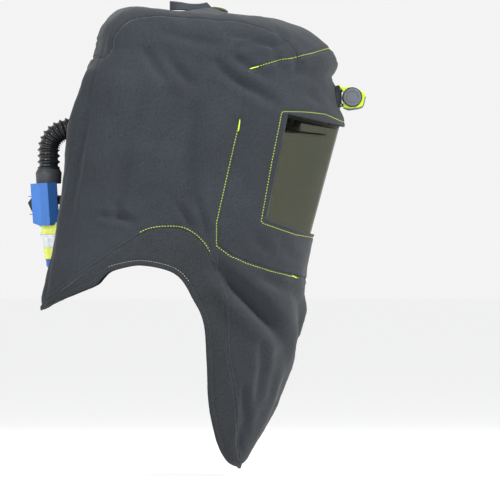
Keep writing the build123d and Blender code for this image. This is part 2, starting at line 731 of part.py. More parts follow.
INTAKE_LEVEL = -6.0
INTAKE_HALF, INTAKE_TALL = 15.0, 17.0
with BuildPart() as blower_case_front:
    add(blower_shell.part)
    split(bisect_by=blower_rear, keep=Keep.TOP)
    with BuildSketch(blower_rear.offset(CASE_DEEP)):
        with Locations((0, INTAKE_LEVEL)):
            Rectangle(2 * INTAKE_HALF, 2 * INTAKE_TALL)
    extrude(amount=-4, mode=Mode.SUBTRACT)
save(blower_case_front, "blower_case_front")

with BuildPart() as intake_grille:
    with BuildSketch(blower_rear.offset(CASE_DEEP - CASE_WALL)):
        with Locations((0, INTAKE_LEVEL)):
            Rectangle(2 * INTAKE_HALF, 2 * INTAKE_TALL)
            with GridLocations(13.5, 4.2, 2, 7):
                SlotOverall(11.5, 2.4, mode=Mode.SUBTRACT)
    extrude(amount=CASE_WALL)
save(intake_grille, "intake_grille")

with BuildPart() as intake_filter:
    with BuildSketch(blower_rear.offset(CASE_DEEP - CASE_WALL - 3.4)):
        with Locations((0, INTAKE_LEVEL)):
            Rectangle(2 * INTAKE_HALF + 4, 2 * INTAKE_TALL + 4)
    extrude(amount=3.2)
save(intake_filter, "intake_filter")

FAN_LEVEL = -5.0
FAN_R = 21.0
OUTLET_LENGTH = 29.0
fan_plane = Plane(origin=blower_rear.from_local_coords((0, FAN_LEVEL, 0)), x_dir=(0, 1, 0), z_dir=blower.x_dir)

with BuildPart() as fan_housing:  # the round scroll and its outlet up to the hose
    with BuildSketch(fan_plane.offset(0.6)):
        Circle(FAN_R + 4)
    extrude(amount=1.6)
    with BuildSketch(fan_plane.offset(2.2)):
        Circle(FAN_R + 4)
        Circle(FAN_R + 2.4, mode=Mode.SUBTRACT)
        with Locations((0, FAN_R + 4)):
            Rectangle(18, 9, mode=Mode.SUBTRACT)
    extrude(amount=11.0)
    with BuildSketch(Plane(origin=(HOSE_X, 0, HOSE_FOOT - 0.5 - OUTLET_LENGTH))):
        Circle(SPIGOT_R)
        Circle(SPIGOT_R - 1.6, mode=Mode.SUBTRACT)
    extrude(amount=OUTLET_LENGTH)
    with BuildSketch(fan_plane.offset(-2)):
        Circle(5)
    extrude(amount=6, mode=Mode.SUBTRACT)
save(fan_housing, "fan_housing")

SHAFT_R = 1.5
with BuildPart() as impeller:
    with BuildSketch(fan_plane.offset(2.8)):
        Circle(FAN_R)
    extrude(amount=1.2)
    with BuildSketch(fan_plane.offset(4.0)):
        Circle(5.5)
    extrude(amount=6)
    with BuildSketch(fan_plane.offset(4.0)):
        with PolarLocations(FAN_R - 4.5, 18):
            Rectangle(7.5, 1.0, rotation=28)
    extrude(amount=8.0)
    with BuildSketch(fan_plane):
        Circle(SHAFT_R + 0.05)
    extrude(amount=8.5, mode=Mode.SUBTRACT)
save(impeller, "impeller")

with BuildPart() as blower_motor:
    with BuildSketch(fan_plane.offset(-8.2)):
        Circle(11)
    extrude(amount=8.8)
    with BuildSketch(fan_plane):
        Circle(SHAFT_R)
    extrude(amount=8.0)
save(blower_motor, "blower_motor")

with BuildPart() as control_board:  # lies on the case's floor, behind the fan
    with BuildSketch(blower.offset(-28.6)):
        with Locations((-6.7, 0)):
            Rectangle(12.4, 36)
    extrude(amount=1.6)
save(control_board, "control_board")

ROCKER_PIVOT = (-18.0, 0.0)
ROCKER_HALF = 7.2
with BuildPart() as switch_frame:
    with BuildSketch(blower_rear.offset(-CASE_DEEP)):
        Rectangle(2 * SWITCH_HALF, 2 * SWITCH_TALL)
        Rectangle(2 * ROCKER_HALF + 0.8, 2 * SWITCH_TALL - 1.8, mode=Mode.SUBTRACT)
    extrude(amount=8)
    with BuildSketch(blower_rear.offset(-CASE_DEEP + 8)):
        Rectangle(2 * SWITCH_HALF, 2 * SWITCH_TALL)
    extrude(amount=2.4)
    with BuildSketch(blower_side):
        with Locations(ROCKER_PIVOT):
            Circle(1.25)
    extrude(amount=9.4, both=True, mode=Mode.SUBTRACT)
save(switch_frame, "switch_frame")

with BuildPart() as rocker_switch:  # a two-slope key, its upper half standing out
    with BuildSketch(blower_side):
        with BuildLine():
            Polyline((-20.4, 10.6), (-26.4, 3.6), (-21.0, -10.6), (-15.6, -8.6), (-15.6, 8.6), close=True)
        make_face()
    extrude(amount=ROCKER_HALF, both=True)
    with BuildSketch(blower_side):
        with Locations(ROCKER_PIVOT):
            Circle(1.2)
    extrude(amount=9.0, both=True)
save(rocker_switch, "rocker_switch")

with BuildPart() as blower_hanger:  # the clip that hooks the blower to the back panel
    add(block((-256, -215), (-11, 11), (-123, -109)))
    add(blower_outer, mode=Mode.SUBTRACT)
    add(hood_outer, mode=Mode.SUBTRACT)
save(blower_hanger, "blower_hanger")

# ================================================================ battery pouch under the blower
POUCH_REAR = [(-277.0, -158.6), (-273.6, -162), (-276.4, -169), (-272.2, -180), (-271.2, -190), (-269.6, -208),
              (-267.8, -220)]
POUCH_FRONT = [(-248.5, -220), (-248.5, -157.0), (-253, -157.0)]
POUCH_HALF = 29.0
TAPE_PROUD = 0.8


def pouch_form(grow):
    """The pouch's block, grown or shrunk by its cloth."""
    with BuildPart() as form:
        with BuildSketch(Plane.XZ):
            with BuildLine():
                Polyline(*POUCH_REAR, *POUCH_FRONT, close=True)
            make_face()
            if grow:
                offset(amount=grow, kind=Kind.INTERSECTION)
        extrude(amount=POUCH_HALF + grow, both=True)
    return form.part


pouch_block = pouch_form(0)
pouch_grown = pouch_form(TAPE_PROUD)
with BuildPart() as battery_pouch:
    add(pouch_block)
    add(pouch_form(-1.6), mode=Mode.SUBTRACT)
    add(block((-266, -255), (-12, 12), (-162, -150)), mode=Mode.SUBTRACT)
save(battery_pouch, "battery_pouch")

TAPE_LEVELS = (-160.0, -169.5, -190.0, -208.5)
silver_level = block((-300, -230), (-40, 40), (TAPE_LEVELS[2], TAPE_LEVELS[1]))

with BuildPart() as pouch_tape_yellow:  # two strips, above and below the silver one
    add(pouch_grown)
    add(pouch_block, mode=Mode.SUBTRACT)
    add(block((-300, -230), (-40, 40), (TAPE_LEVELS[3], TAPE_LEVELS[0])), mode=Mode.INTERSECT)
    add(silver_level, mode=Mode.SUBTRACT)
save(pouch_tape_yellow, "pouch_tape_yellow")

with BuildPart() as pouch_tape_silver:
    add(pouch_grown)
    add(pouch_block, mode=Mode.SUBTRACT)
    add(silver_level, mode=Mode.INTERSECT)
save(pouch_tape_silver, "pouch_tape_silver")

with BuildPart() as battery_pack:  # cells in a sleeve, with the plug that goes up into the blower
    add(block((-265.5, -251.5), (-24, 24), (-216, -163)))
    add(block((-264.5, -256.5), (-10, 10), (-163, -157.2)))
save(battery_pack, "battery_pack")

# ================================================================ lamp on the brow
HINGE_X, HINGE_Z = 187.6, 30.6
PIN_R = 1.2
BARREL_X, BARREL_Z = 204.6, 42.6
BARREL_R, BARREL_BORE = 14.4, 9.6
BODY_HALF = 32.0
CAP_R, COLLAR_R = 13.9, 15.4

with BuildPart() as lamp_base:
    add(side_prism([(170, 59), (183.0, 61.0), (185.7, 56.6), (186.0, 55), (186.0, 27.4), (170, 27.4)], 27))
    add(cross_pin(185.9, 52.4, 1.8, -20, 20))
    for y in (-17, 17):
        add(cross_pin(HINGE_X, HINGE_Z, 2.6, y - 3, y + 3))
        add(block((184, 192), (y - 9, y - 3.3) if y > 0 else (y + 3.3, y + 9), (27, 34)), mode=Mode.SUBTRACT)
    add(cross_pin(HINGE_X, HINGE_Z, PIN_R, -20, 20), mode=Mode.SUBTRACT)
    add(hood_outer, mode=Mode.SUBTRACT)
    with BuildSketch(Plane.YZ):
        with Locations((-LAMP_SCREW_Y, LAMP_SCREW_Z), (LAMP_SCREW_Y, LAMP_SCREW_Z)):
            Circle(LAMP_SCREW_R)
    extrude(amount=184.4, mode=Mode.SUBTRACT)
save(lamp_base, "lamp_base")

with BuildPart() as lamp_backing_plate:  # inside the cloth, behind the base
    add(block((150, 200), (-28, 28), (30, 60)))
    add(hood_inner, mode=Mode.INTERSECT)
    add(block((100, 173.5), (-40, 40), (0, 100)), mode=Mode.SUBTRACT)
    with BuildSketch(Plane.YZ):
        with Locations((-LAMP_SCREW_Y, LAMP_SCREW_Z), (LAMP_SCREW_Y, LAMP_SCREW_Z)):
            Circle(LAMP_SCREW_R)
    extrude(amount=REACH, mode=Mode.SUBTRACT)
save(lamp_backing_plate, "lamp_backing_plate")

with BuildPart() as lamp_screws:
    with BuildSketch(Plane.YZ.offset(173.5)):
        with Locations((-LAMP_SCREW_Y, LAMP_SCREW_Z), (LAMP_SCREW_Y, LAMP_SCREW_Z)):
            Circle(LAMP_SCREW_R)
    extrude(amount=184.4 - 173.5)
    with BuildSketch(Plane.YZ.offset(170.7)):
        with Locations((-LAMP_SCREW_Y, LAMP_SCREW_Z), (LAMP_SCREW_Y, LAMP_SCREW_Z)):
            Circle(3.8)
    extrude(amount=2.8)
save(lamp_screws, "lamp_screws")

with BuildPart() as lamp_release_tab:
    add(side_prism([(178, 27.4), (183.6, 22.8), (185.4, 23.4), (186.8, 27.4)], 20))
    add(hood_outer, mode=Mode.SUBTRACT)
save(lamp_release_tab, "lamp_release_tab")

with BuildPart() as lamp_hinge_pin:
    add(cross_pin(HINGE_X, HINGE_Z, PIN_R, -20, 20))
save(lamp_hinge_pin, "lamp_hinge_pin")

face_lean = atan((225.8 - 222.8) / (43.2 - 30.0))
face_plane = Plane(origin=(224.3, 0, 36.6), x_dir=(0, 1, 0), z_dir=(cos(face_lean), 0, -sin(face_lean)))
WINDOW_WIDE, WINDOW_TALL = 44.0, 9.5

with BuildPart() as lamp_body:
    with BuildSketch(Plane.XZ):
        with BuildLine():
            Polyline(
                (191.4, 26.8), (199.6, 24.9), (213.2, 26.5), (219.6, 28.4), (221.2, 30.8), (224.2, 43.4),
                (225.8, 43.4), (223.8, 48.5), (217.3, 53.6), (205.0, 58.6), (194.8, 57.8), (187.4, 58.4),
                (185.2, 62.2), (183.7, 62.6), (183.6, 61.3), (186.4, 57.0), (187.6, 56.2), (191.0, 51.5),
                (191.0, 33.5), close=True,
            )
        make_face()
    extrude(amount=BODY_HALF, both=True)
    for y in (-11, 11):
        add(cross_pin(HINGE_X, HINGE_Z, 2.6, y - 2.7, y + 2.7))
        add(block((HINGE_X, 193), (y - 2.7, y + 2.7), (28.0, 33.2)))
    add(cross_pin(HINGE_X, HINGE_Z, PIN_R + 0.05, -20, 20), mode=Mode.SUBTRACT)
    add(cross_pin(BARREL_X, BARREL_Z, BARREL_R, -40, 40), mode=Mode.SUBTRACT)
    with BuildSketch(face_plane):
        Rectangle(WINDOW_WIDE, WINDOW_TALL)
    extrude(amount=4.5, both=True, mode=Mode.SUBTRACT)
save(lamp_body, "lamp_body")

with BuildPart() as lamp_bezel:  # grey trim along the front and the underside
    with BuildSketch(Plane.XZ):
        with BuildLine():
            Polyline(
                (191.4, 26.8), (191.6, 25.6), (199.5, 22.4), (213.7, 24.4), (220.6, 26.6), (222.8, 30.0),
                (225.8, 43.4), (224.2, 43.4), (221.2, 30.8), (219.6, 28.4), (213.2, 26.5), (199.6, 24.9),
                close=True,
            )
        make_face()
    extrude(amount=BODY_HALF - 1, both=True)
    with BuildSketch(face_plane):
        Rectangle(WINDOW_WIDE, WINDOW_TALL)
    extrude(amount=4.5, both=True, mode=Mode.SUBTRACT)
save(lamp_bezel, "lamp_bezel")

with BuildPart() as lamp_lens:
    with BuildSketch(face_plane.offset(-1.4)):
        Rectangle(WINDOW_WIDE, WINDOW_TALL)
    extrude(amount=1.4)
save(lamp_lens, "lamp_lens")

with BuildPart() as lamp_reflector:  # a dished tray behind the lamp's window
    with BuildSketch(face_plane.offset(-4.4)):
        Rectangle(WINDOW_WIDE, WINDOW_TALL)
    extrude(amount=3.0)
    with BuildSketch(face_plane.offset(-1.4)):
        with GridLocations(14, 0, 3, 1):
            Circle(4.0)
    extrude(amount=-2.2, taper=20, mode=Mode.SUBTRACT)
    add(cross_pin(BARREL_X, BARREL_Z, BARREL_R, -40, 40), mode=Mode.SUBTRACT)
save(lamp_reflector, "lamp_reflector")

with BuildPart() as lamp_barrel:
    add(cross_pin(BARREL_X, BARREL_Z, BARREL_R, -BODY_HALF, BODY_HALF))
    for low_y in (-BODY_HALF - 2.2, BODY_HALF):
        add(cross_pin(BARREL_X, BARREL_Z, COLLAR_R, low_y, low_y + 2.2))
    add(cross_pin(BARREL_X, BARREL_Z, BARREL_BORE, -40, 40), mode=Mode.SUBTRACT)
save(lamp_barrel, "lamp_barrel")

cap_face = BODY_HALF + 2.3
with BuildPart() as lamp_cap_right:  # the battery cap: a knurled disc with a dished middle
    add(cross_pin(BARREL_X, BARREL_Z, CAP_R, -cap_face - 5, -cap_face))
    fillet(lamp_cap_right.edges().filter_by(GeomType.CIRCLE).sort_by(Axis.Y)[0], 1.2)
    add(cross_pin(BARREL_X, BARREL_Z, 9.8, -cap_face - 6, -cap_face - 4), mode=Mode.SUBTRACT)
    add(cross_pin(BARREL_X, BARREL_Z, 8.8, -cap_face - 4.6, -cap_face - 4))
    add(cross_pin(BARREL_X, BARREL_Z, BARREL_BORE - 0.06, -cap_face, -cap_face + 4))
save(lamp_cap_right, "lamp_cap_right")

BUTTON_R = 5.6
with BuildPart() as lamp_cap_left:
    add(cross_pin(BARREL_X, BARREL_Z, CAP_R, cap_face - 0.1, cap_face + 5))
    fillet(lamp_cap_left.edges().filter_by(GeomType.CIRCLE).sort_by(Axis.Y)[-1], 1.2)
    add(cross_pin(BARREL_X, BARREL_Z, BUTTON_R + 0.05, 30, 45), mode=Mode.SUBTRACT)
save(lamp_cap_left, "lamp_cap_left")

with BuildPart() as lamp_button:
    add(cross_pin(BARREL_X, BARREL_Z, BUTTON_R, cap_face + 0.6, cap_face + 6.6))
    fillet(lamp_button.edges().filter_by(GeomType.CIRCLE).sort_by(Axis.Y)[-1], 0.8)
save(lamp_button, "lamp_button")

with BuildPart() as lamp_battery:
    add(cross_pin(BARREL_X, BARREL_Z, 9.0, -27.5, 30.5))
save(lamp_battery, "lamp_battery")
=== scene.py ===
import json
from math import cos, pi, radians, sin

import bmesh
import bpy
import numpy as np
from mathutils import Matrix, Vector, noise
from mathutils.bvhtree import BVHTree

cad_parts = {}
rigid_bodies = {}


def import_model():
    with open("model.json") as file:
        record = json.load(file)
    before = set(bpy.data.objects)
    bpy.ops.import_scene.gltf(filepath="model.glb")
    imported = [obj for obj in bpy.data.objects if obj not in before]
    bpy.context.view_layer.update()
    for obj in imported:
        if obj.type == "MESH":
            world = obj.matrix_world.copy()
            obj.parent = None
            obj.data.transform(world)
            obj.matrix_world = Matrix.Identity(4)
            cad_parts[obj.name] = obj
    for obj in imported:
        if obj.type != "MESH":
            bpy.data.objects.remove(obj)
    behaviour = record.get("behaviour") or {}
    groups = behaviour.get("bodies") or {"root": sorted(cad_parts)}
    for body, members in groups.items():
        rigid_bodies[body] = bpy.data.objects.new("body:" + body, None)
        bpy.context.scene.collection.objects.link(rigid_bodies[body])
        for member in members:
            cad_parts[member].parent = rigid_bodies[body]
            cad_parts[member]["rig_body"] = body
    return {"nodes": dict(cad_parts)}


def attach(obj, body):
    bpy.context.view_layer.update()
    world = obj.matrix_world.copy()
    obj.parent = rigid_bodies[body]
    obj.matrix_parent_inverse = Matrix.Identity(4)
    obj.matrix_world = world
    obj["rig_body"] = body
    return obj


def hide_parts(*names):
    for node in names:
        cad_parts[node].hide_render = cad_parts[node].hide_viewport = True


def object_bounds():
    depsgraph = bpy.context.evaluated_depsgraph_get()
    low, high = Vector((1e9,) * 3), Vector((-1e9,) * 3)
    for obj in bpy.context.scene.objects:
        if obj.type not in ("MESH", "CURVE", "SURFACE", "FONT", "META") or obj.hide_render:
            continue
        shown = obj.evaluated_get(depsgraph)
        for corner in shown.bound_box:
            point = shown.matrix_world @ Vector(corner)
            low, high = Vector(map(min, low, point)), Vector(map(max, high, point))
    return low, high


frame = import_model()
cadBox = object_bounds()
nodes = frame["nodes"]
mm = 0.001
print("frame loaded:", len(nodes), "nodes")


# camera, light and floor
stageSettings = {
    "centre": (0.0465, 0.0, -0.19375),  # what the camera looks at
    "distance": 14.0,
    "seenWidth": 0.775,  # metres across the picture at the object
    "floorDrop": 0.012,  # the floor lies this far under the bib's tip
}


def addCamera(s):
    camera = bpy.data.cameras.new("camera")
    camera.sensor_width = 36.0
    camera.lens = camera.sensor_width * s["distance"] / s["seenWidth"]
    camera.clip_end = 120
    place = bpy.data.objects.new("camera", camera)
    x, y, z = s["centre"]
    place.location = (x, y - s["distance"], z)
    place.rotation_euler = (pi / 2, 0, 0)
    bpy.context.collection.objects.link(place)
    bpy.context.scene.camera = place


def addArea(name, place, target, size, power, mirrored=True):
    light = bpy.data.lights.new(name, "AREA")
    light.shape = "SQUARE"
    light.size = size
    light.energy = power
    lamp = bpy.data.objects.new(name, light)
    lamp.location = place
    lamp.rotation_euler = (Vector(target) - Vector(place)).to_track_quat("-Z", "Y").to_euler()
    lamp.visible_glossy = mirrored  # the lens would show the others as hard patches
    bpy.context.collection.objects.link(lamp)


addCamera(stageSettings)
middle = (0, 0, -0.15)
addArea("keyLight", (1.9, -1.5, 2.5), middle, 1.0, 170)
addArea("fillLight", (-1.0, -3.0, 0.3), middle, 1.6, 62, False)
addArea("glintLight", (-2.3, -2.3, 1.5), (-0.26, 0, -0.05), 0.45, 50)
addArea("backLight", (-0.6, 2.6, 1.6), middle, 2.0, 30, False)

floorMesh = bpy.data.meshes.new("floor")
floorBm = bmesh.new()
bmesh.ops.create_grid(floorBm, x_segments=1, y_segments=1, size=50,
                      matrix=Matrix.Translation((0, 0, cadBox[0][2] - stageSettings["floorDrop"])))
floorBm.to_mesh(floorMesh)
floorBm.free()
floor = bpy.data.objects.new("floor", floorMesh)
bpy.context.collection.objects.link(floor)
floorPaint = bpy.data.materials.new("palePaint")
floorPaint.use_nodes = True
floorShader = floorPaint.node_tree.nodes["Principled BSDF"]
floorShader.inputs["Base Color"].default_value = (0.35, 0.35, 0.35, 1)
floorShader.inputs["Roughness"].default_value = 0.9
floorShader.inputs["Specular IOR Level"].default_value = 0.1
floorShader.inputs["Emission Color"].default_value = (1, 1, 1, 1)
floorShader.inputs["Emission Strength"].default_value = 0.7
floorMesh.materials.append(floorPaint)

world = bpy.data.worlds.new("studio")
bpy.context.scene.world = world
world.use_nodes = True
bpy.context.scene.view_settings.view_transform = "Standard"
world.node_tree.nodes["Background"].inputs["Strength"].default_value = 0.9


def linear(code):
    # sRGB hex to the linear colour that the shader takes
    parts = [int(code[i:i + 2], 16) / 255 for i in (0, 2, 4)]
    return tuple(p / 12.92 if p <= 0.04045 else ((p + 0.055) / 1.055) ** 2.4 for p in parts) + (1.0,)


def add(tree, kind, settings=None, links=None):
    # one node, with its properties or socket values, and what feeds its sockets
    made = tree.nodes.new(kind)
    for key, value in (settings or {}).items():
        if isinstance(key, int) or key in made.inputs:
            made.inputs[key].default_value = value
        else:
            setattr(made, key, value)
    for key, source in (links or {}).items():
        tree.links.new(source, made.inputs[key])
    return made


def startMaterial(name, settings):
    material = bpy.data.materials.new(name)
    material.use_nodes = True
    tree = material.node_tree
    shader = tree.nodes["Principled BSDF"]
    for key, value in settings.items():
        shader.inputs[key].default_value = value
    return material, tree, shader


def ramp(tree, source, low, high, lowAt=0.3, highAt=0.7):
    made = add(tree, "ShaderNodeValToRGB", links={"Fac": source})
    made.color_ramp.elements[0].position = lowAt
    made.color_ramp.elements[0].color = low
    made.color_ramp.elements[1].position = highAt
    made.color_ramp.elements[1].color = high
    return made


def wovenCloth(name, dark, light, thread, roughness=0.9, sheen=0.12, bump=0.35, fade=0.12, diagonal=True):
    # cloth on the piece's own UV map, which is in metres; thread is the width of one yarn in metres
    material, tree, shader = startMaterial(name, {
        "Roughness": roughness, "Sheen Weight": sheen, "Sheen Roughness": 0.5, "Specular IOR Level": 0.25,
    })
    uv = add(tree, "ShaderNodeUVMap", {"uv_map": "cloth"})
    place = add(tree, "ShaderNodeTexCoord")
    turned = add(tree, "ShaderNodeMapping", {"Rotation": (0, 0, radians(45 if diagonal else 0))},
                 {"Vector": uv.outputs["UV"]})
    warp, weft = [add(tree, "ShaderNodeTexWave", {
        "wave_type": "BANDS", "bands_direction": axis, "Scale": 0.314 / (yarns * thread), "Distortion": 0.6,
        "Detail": 1.0, "Detail Scale": 2.0}, {"Vector": turned.outputs[0]}) for axis, yarns in (("X", 2), ("Y", 3))]
    weave = add(tree, "ShaderNodeMath", {"operation": "MULTIPLY"}, {0: warp.outputs["Fac"], 1: weft.outputs["Fac"]})
    fleck = add(tree, "ShaderNodeTexNoise", {"Scale": 900.0, "Detail": 3.0, "Roughness": 0.7},
                {"Vector": place.outputs["Object"]})
    wear = add(tree, "ShaderNodeTexNoise", {"Scale": 11.0, "Detail": 5.0, "Roughness": 0.6},
               {"Vector": place.outputs["Object"]})
    long = add(tree, "ShaderNodeMapping", {"Scale": (240, 900, 1)}, {"Vector": turned.outputs[0]})
    slub = add(tree, "ShaderNodeTexNoise", {"Scale": 1.0, "Detail": 2.0, "Roughness": 0.6},
               {"Vector": long.outputs[0]})
    both = add(tree, "ShaderNodeMath", {"operation": "MULTIPLY_ADD", 1: 0.5}, {0: fleck.outputs["Fac"]})
    half = add(tree, "ShaderNodeMath", {"operation": "MULTIPLY", 1: 0.5}, {0: slub.outputs["Fac"]})
    tree.links.new(half.outputs[0], both.inputs[2])
    tone = ramp(tree, both.outputs[0], linear(dark), linear(light), 0.36, 0.64)
    shade = ramp(tree, wear.outputs["Fac"], (1 - fade, 1 - fade, 1 - fade, 1), (1 + fade, 1 + fade, 1 + fade, 1))
    yarn = ramp(tree, weave.outputs[0], (0.82, 0.82, 0.82, 1), (1.08, 1.08, 1.08, 1), 0.0, 0.8)
    colour = tone.outputs["Color"]
    for tint in (shade, yarn):
        mixed = add(tree, "ShaderNodeMix", {"data_type": "RGBA", "blend_type": "MULTIPLY", 0: 1.0},
                    {6: colour, 7: tint.outputs["Color"]})
        colour = mixed.outputs[2]
    tree.links.new(colour, shader.inputs["Base Color"])
    height = add(tree, "ShaderNodeMath", {"operation": "MULTIPLY_ADD", 1: 0.35}, {0: fleck.outputs["Fac"]})
    tree.links.new(weave.outputs[0], height.inputs[2])
    relief = add(tree, "ShaderNodeBump", {"Strength": bump, "Distance": thread * 0.35}, {"Height": height.outputs[0]})
    tree.links.new(relief.outputs["Normal"], shader.inputs["Normal"])
    return material


def mouldedPlastic(name, code, roughness=0.42, grain=0.00035, bump=0.08, tint=0.06, coat=0.0, level=0.5):
    # moulded part: fine spark-eroded grain, handling marks that change the gloss, a slight colour drift
    material, tree, shader = startMaterial(name, {
        "IOR": 1.5, "Coat Weight": coat, "Coat Roughness": 0.1, "Specular IOR Level": level,
    })
    place = add(tree, "ShaderNodeTexCoord")
    grainy = add(tree, "ShaderNodeTexNoise", {"Scale": 1 / grain, "Detail": 2.0}, {"Vector": place.outputs["Object"]})
    marks = add(tree, "ShaderNodeTexNoise", {"Scale": 45.0, "Detail": 6.0, "Roughness": 0.65},
                {"Vector": place.outputs["Object"]})
    rgb = linear(code)
    low = tuple(c * (1 - tint) for c in rgb[:3]) + (1,)
    high = tuple(min(1, c * (1 + tint)) for c in rgb[:3]) + (1,)
    tone = ramp(tree, marks.outputs["Fac"], low, high)
    gloss = add(tree, "ShaderNodeMapRange", {"From Min": 0.3, "From Max": 0.7, "To Min": roughness * 0.85,
                                             "To Max": min(1, roughness * 1.2)}, {"Value": marks.outputs["Fac"]})
    relief = add(tree, "ShaderNodeBump", {"Strength": bump, "Distance": 0.0001}, {"Height": grainy.outputs["Fac"]})
    tree.links.new(tone.outputs["Color"], shader.inputs["Base Color"])
    tree.links.new(gloss.outputs["Result"], shader.inputs["Roughness"])
    tree.links.new(relief.outputs["Normal"], shader.inputs["Normal"])
    return material


def brushedMetal(name, code, roughness):
    # turned or drawn metal: fine lines in the finish
    material, tree, shader = startMaterial(name, {"Metallic": 1.0, "Base Color": linear(code)})
    place = add(tree, "ShaderNodeTexCoord")
    stretched = add(tree, "ShaderNodeMapping", {"Scale": (1, 30, 1)}, {"Vector": place.outputs["Object"]})
    lines = add(tree, "ShaderNodeTexNoise", {"Scale": 400.0, "Detail": 3.0}, {"Vector": stretched.outputs[0]})
    gloss = add(tree, "ShaderNodeMapRange", {"To Min": roughness * 0.7, "To Max": roughness * 1.3},
                {"Value": lines.outputs["Fac"]})
    tree.links.new(gloss.outputs["Result"], shader.inputs["Roughness"])
    return material


# flame-resistant aramid twill: dull, charcoal, a little hairy
aramidTwill = wovenCloth("aramidTwill", "171a1d", "33383e", 0.0008, roughness=0.92, sheen=0.1, bump=0.5, fade=0.12)
# the same cloth folded double along the shoulder hem, which looks a shade darker
aramidFacing = wovenCloth("aramidFacing", "151719", "33363a", 0.0008, roughness=0.94, sheen=0.08, bump=0.5)
# polyester webbing: ribbed straight across, slightly shiny
polyesterWebbing = wovenCloth("polyesterWebbing", "2c3136", "454b52", 0.0011, roughness=0.75, sheen=0.1, bump=0.8,
                              diagonal=False)
# spun polyester sewing thread in a fluorescent yellow-green
fluorescentThread = mouldedPlastic("fluorescentThread", "c3d437", roughness=0.7, grain=0.0004, bump=0.3, tint=0.12)
# charcoal sewing thread, hardly lighter than the cloth
charcoalThread = mouldedPlastic("charcoalThread", "34373a", roughness=0.8, grain=0.0004, bump=0.3, tint=0.15)
# undyed sewing thread along the hem
paleThread = mouldedPlastic("paleThread", "8a8c8a", roughness=0.8, grain=0.0004, bump=0.3, tint=0.15)
# nylon pack cloth of the pouch: plain weave with a soft shine
nylonPackcloth = wovenCloth("nylonPackcloth", "28569a", "3a6fb6", 0.0006, roughness=0.6, sheen=0.1, bump=0.4,
                            diagonal=False)
# fluorescent tape: flat yellow with a fine warp knit
fluorescentTape = wovenCloth("fluorescentTape", "c3cc5c", "d8e074", 0.0007, roughness=0.65, sheen=0.05, bump=0.3,
                             fade=0.05, diagonal=False)
# coated cloth of the duct between hat and hood
coatedDuctCloth = wovenCloth("coatedDuctCloth", "303336", "42464a", 0.0009, roughness=0.6, bump=0.3)
# felt of the intake filter
needledFelt = mouldedPlastic("needledFelt", "c9c9c2", roughness=0.95, grain=0.0006, bump=0.8, tint=0.1)
# ABS mouldings of the blower and the lamp
blueAbs = mouldedPlastic("blueAbs", "3568ad", roughness=0.45, grain=0.0004, bump=0.1, tint=0.07)
limeAbs = mouldedPlastic("limeAbs", "abca20", roughness=0.32, grain=0.0005, bump=0.05, tint=0.04)
greyAbs = mouldedPlastic("greyAbs", "50535b", roughness=0.45, grain=0.0004, bump=0.1, tint=0.07)
blackAbs = mouldedPlastic("blackAbs", "1f2123", roughness=0.45, grain=0.0005, bump=0.12, tint=0.15)
satinNylon = mouldedPlastic("satinNylon", "1d1f22", roughness=0.55, grain=0.0005, bump=0.15, tint=0.15)
glossyShell = mouldedPlastic("glossyShell", "24272b", roughness=0.22, grain=0.0008, bump=0.03, tint=0.1)
# blown rubber-like PVC: black and shiny, so that each ring has a bright point
glossyHosePvc = mouldedPlastic("glossyHosePvc", "1d1e1f", roughness=0.14, grain=0.0006, bump=0.05, tint=0.2,
                               level=0.6)
cuffRubber = mouldedPlastic("cuffRubber", "33373a", roughness=0.42, grain=0.0004, bump=0.12, tint=0.12)
sweatFoam = mouldedPlastic("sweatFoam", "1e1f20", roughness=0.9, grain=0.0008, bump=0.6, tint=0.2)
greenBoard = mouldedPlastic("greenBoard", "14603a", roughness=0.35)
shrinkSleeve = mouldedPlastic("shrinkSleeve", "20242c", roughness=0.25)
zincSteel = brushedMetal("zincSteel", "b9bbbd", 0.3)
motorCan = brushedMetal("motorCan", "c5c7c9", 0.35)
vacuumMetal = brushedMetal("vacuumMetal", "e6e7e9", 0.08)


def reflectiveTape():
    # glass-bead tape: silver grey with a small sewn-down diamond grid
    material, tree, shader = startMaterial("reflectiveTape", {"Roughness": 0.38, "Metallic": 0.35})
    uv = add(tree, "ShaderNodeUVMap", {"uv_map": "cloth"})
    turned = add(tree, "ShaderNodeMapping", {"Rotation": (0, 0, radians(45))}, {"Vector": uv.outputs["UV"]})
    grid = add(tree, "ShaderNodeTexChecker", {"Scale": 400.0, "Color1": linear("ccd1d3"), "Color2": linear("b9bec1")},
               {"Vector": turned.outputs[0]})
    tree.links.new(grid.outputs["Color"], shader.inputs["Base Color"])
    relief = add(tree, "ShaderNodeBump", {"Strength": 0.3, "Distance": 0.0002}, {"Height": grid.outputs["Fac"]})
    tree.links.new(relief.outputs["Normal"], shader.inputs["Normal"])
    return material


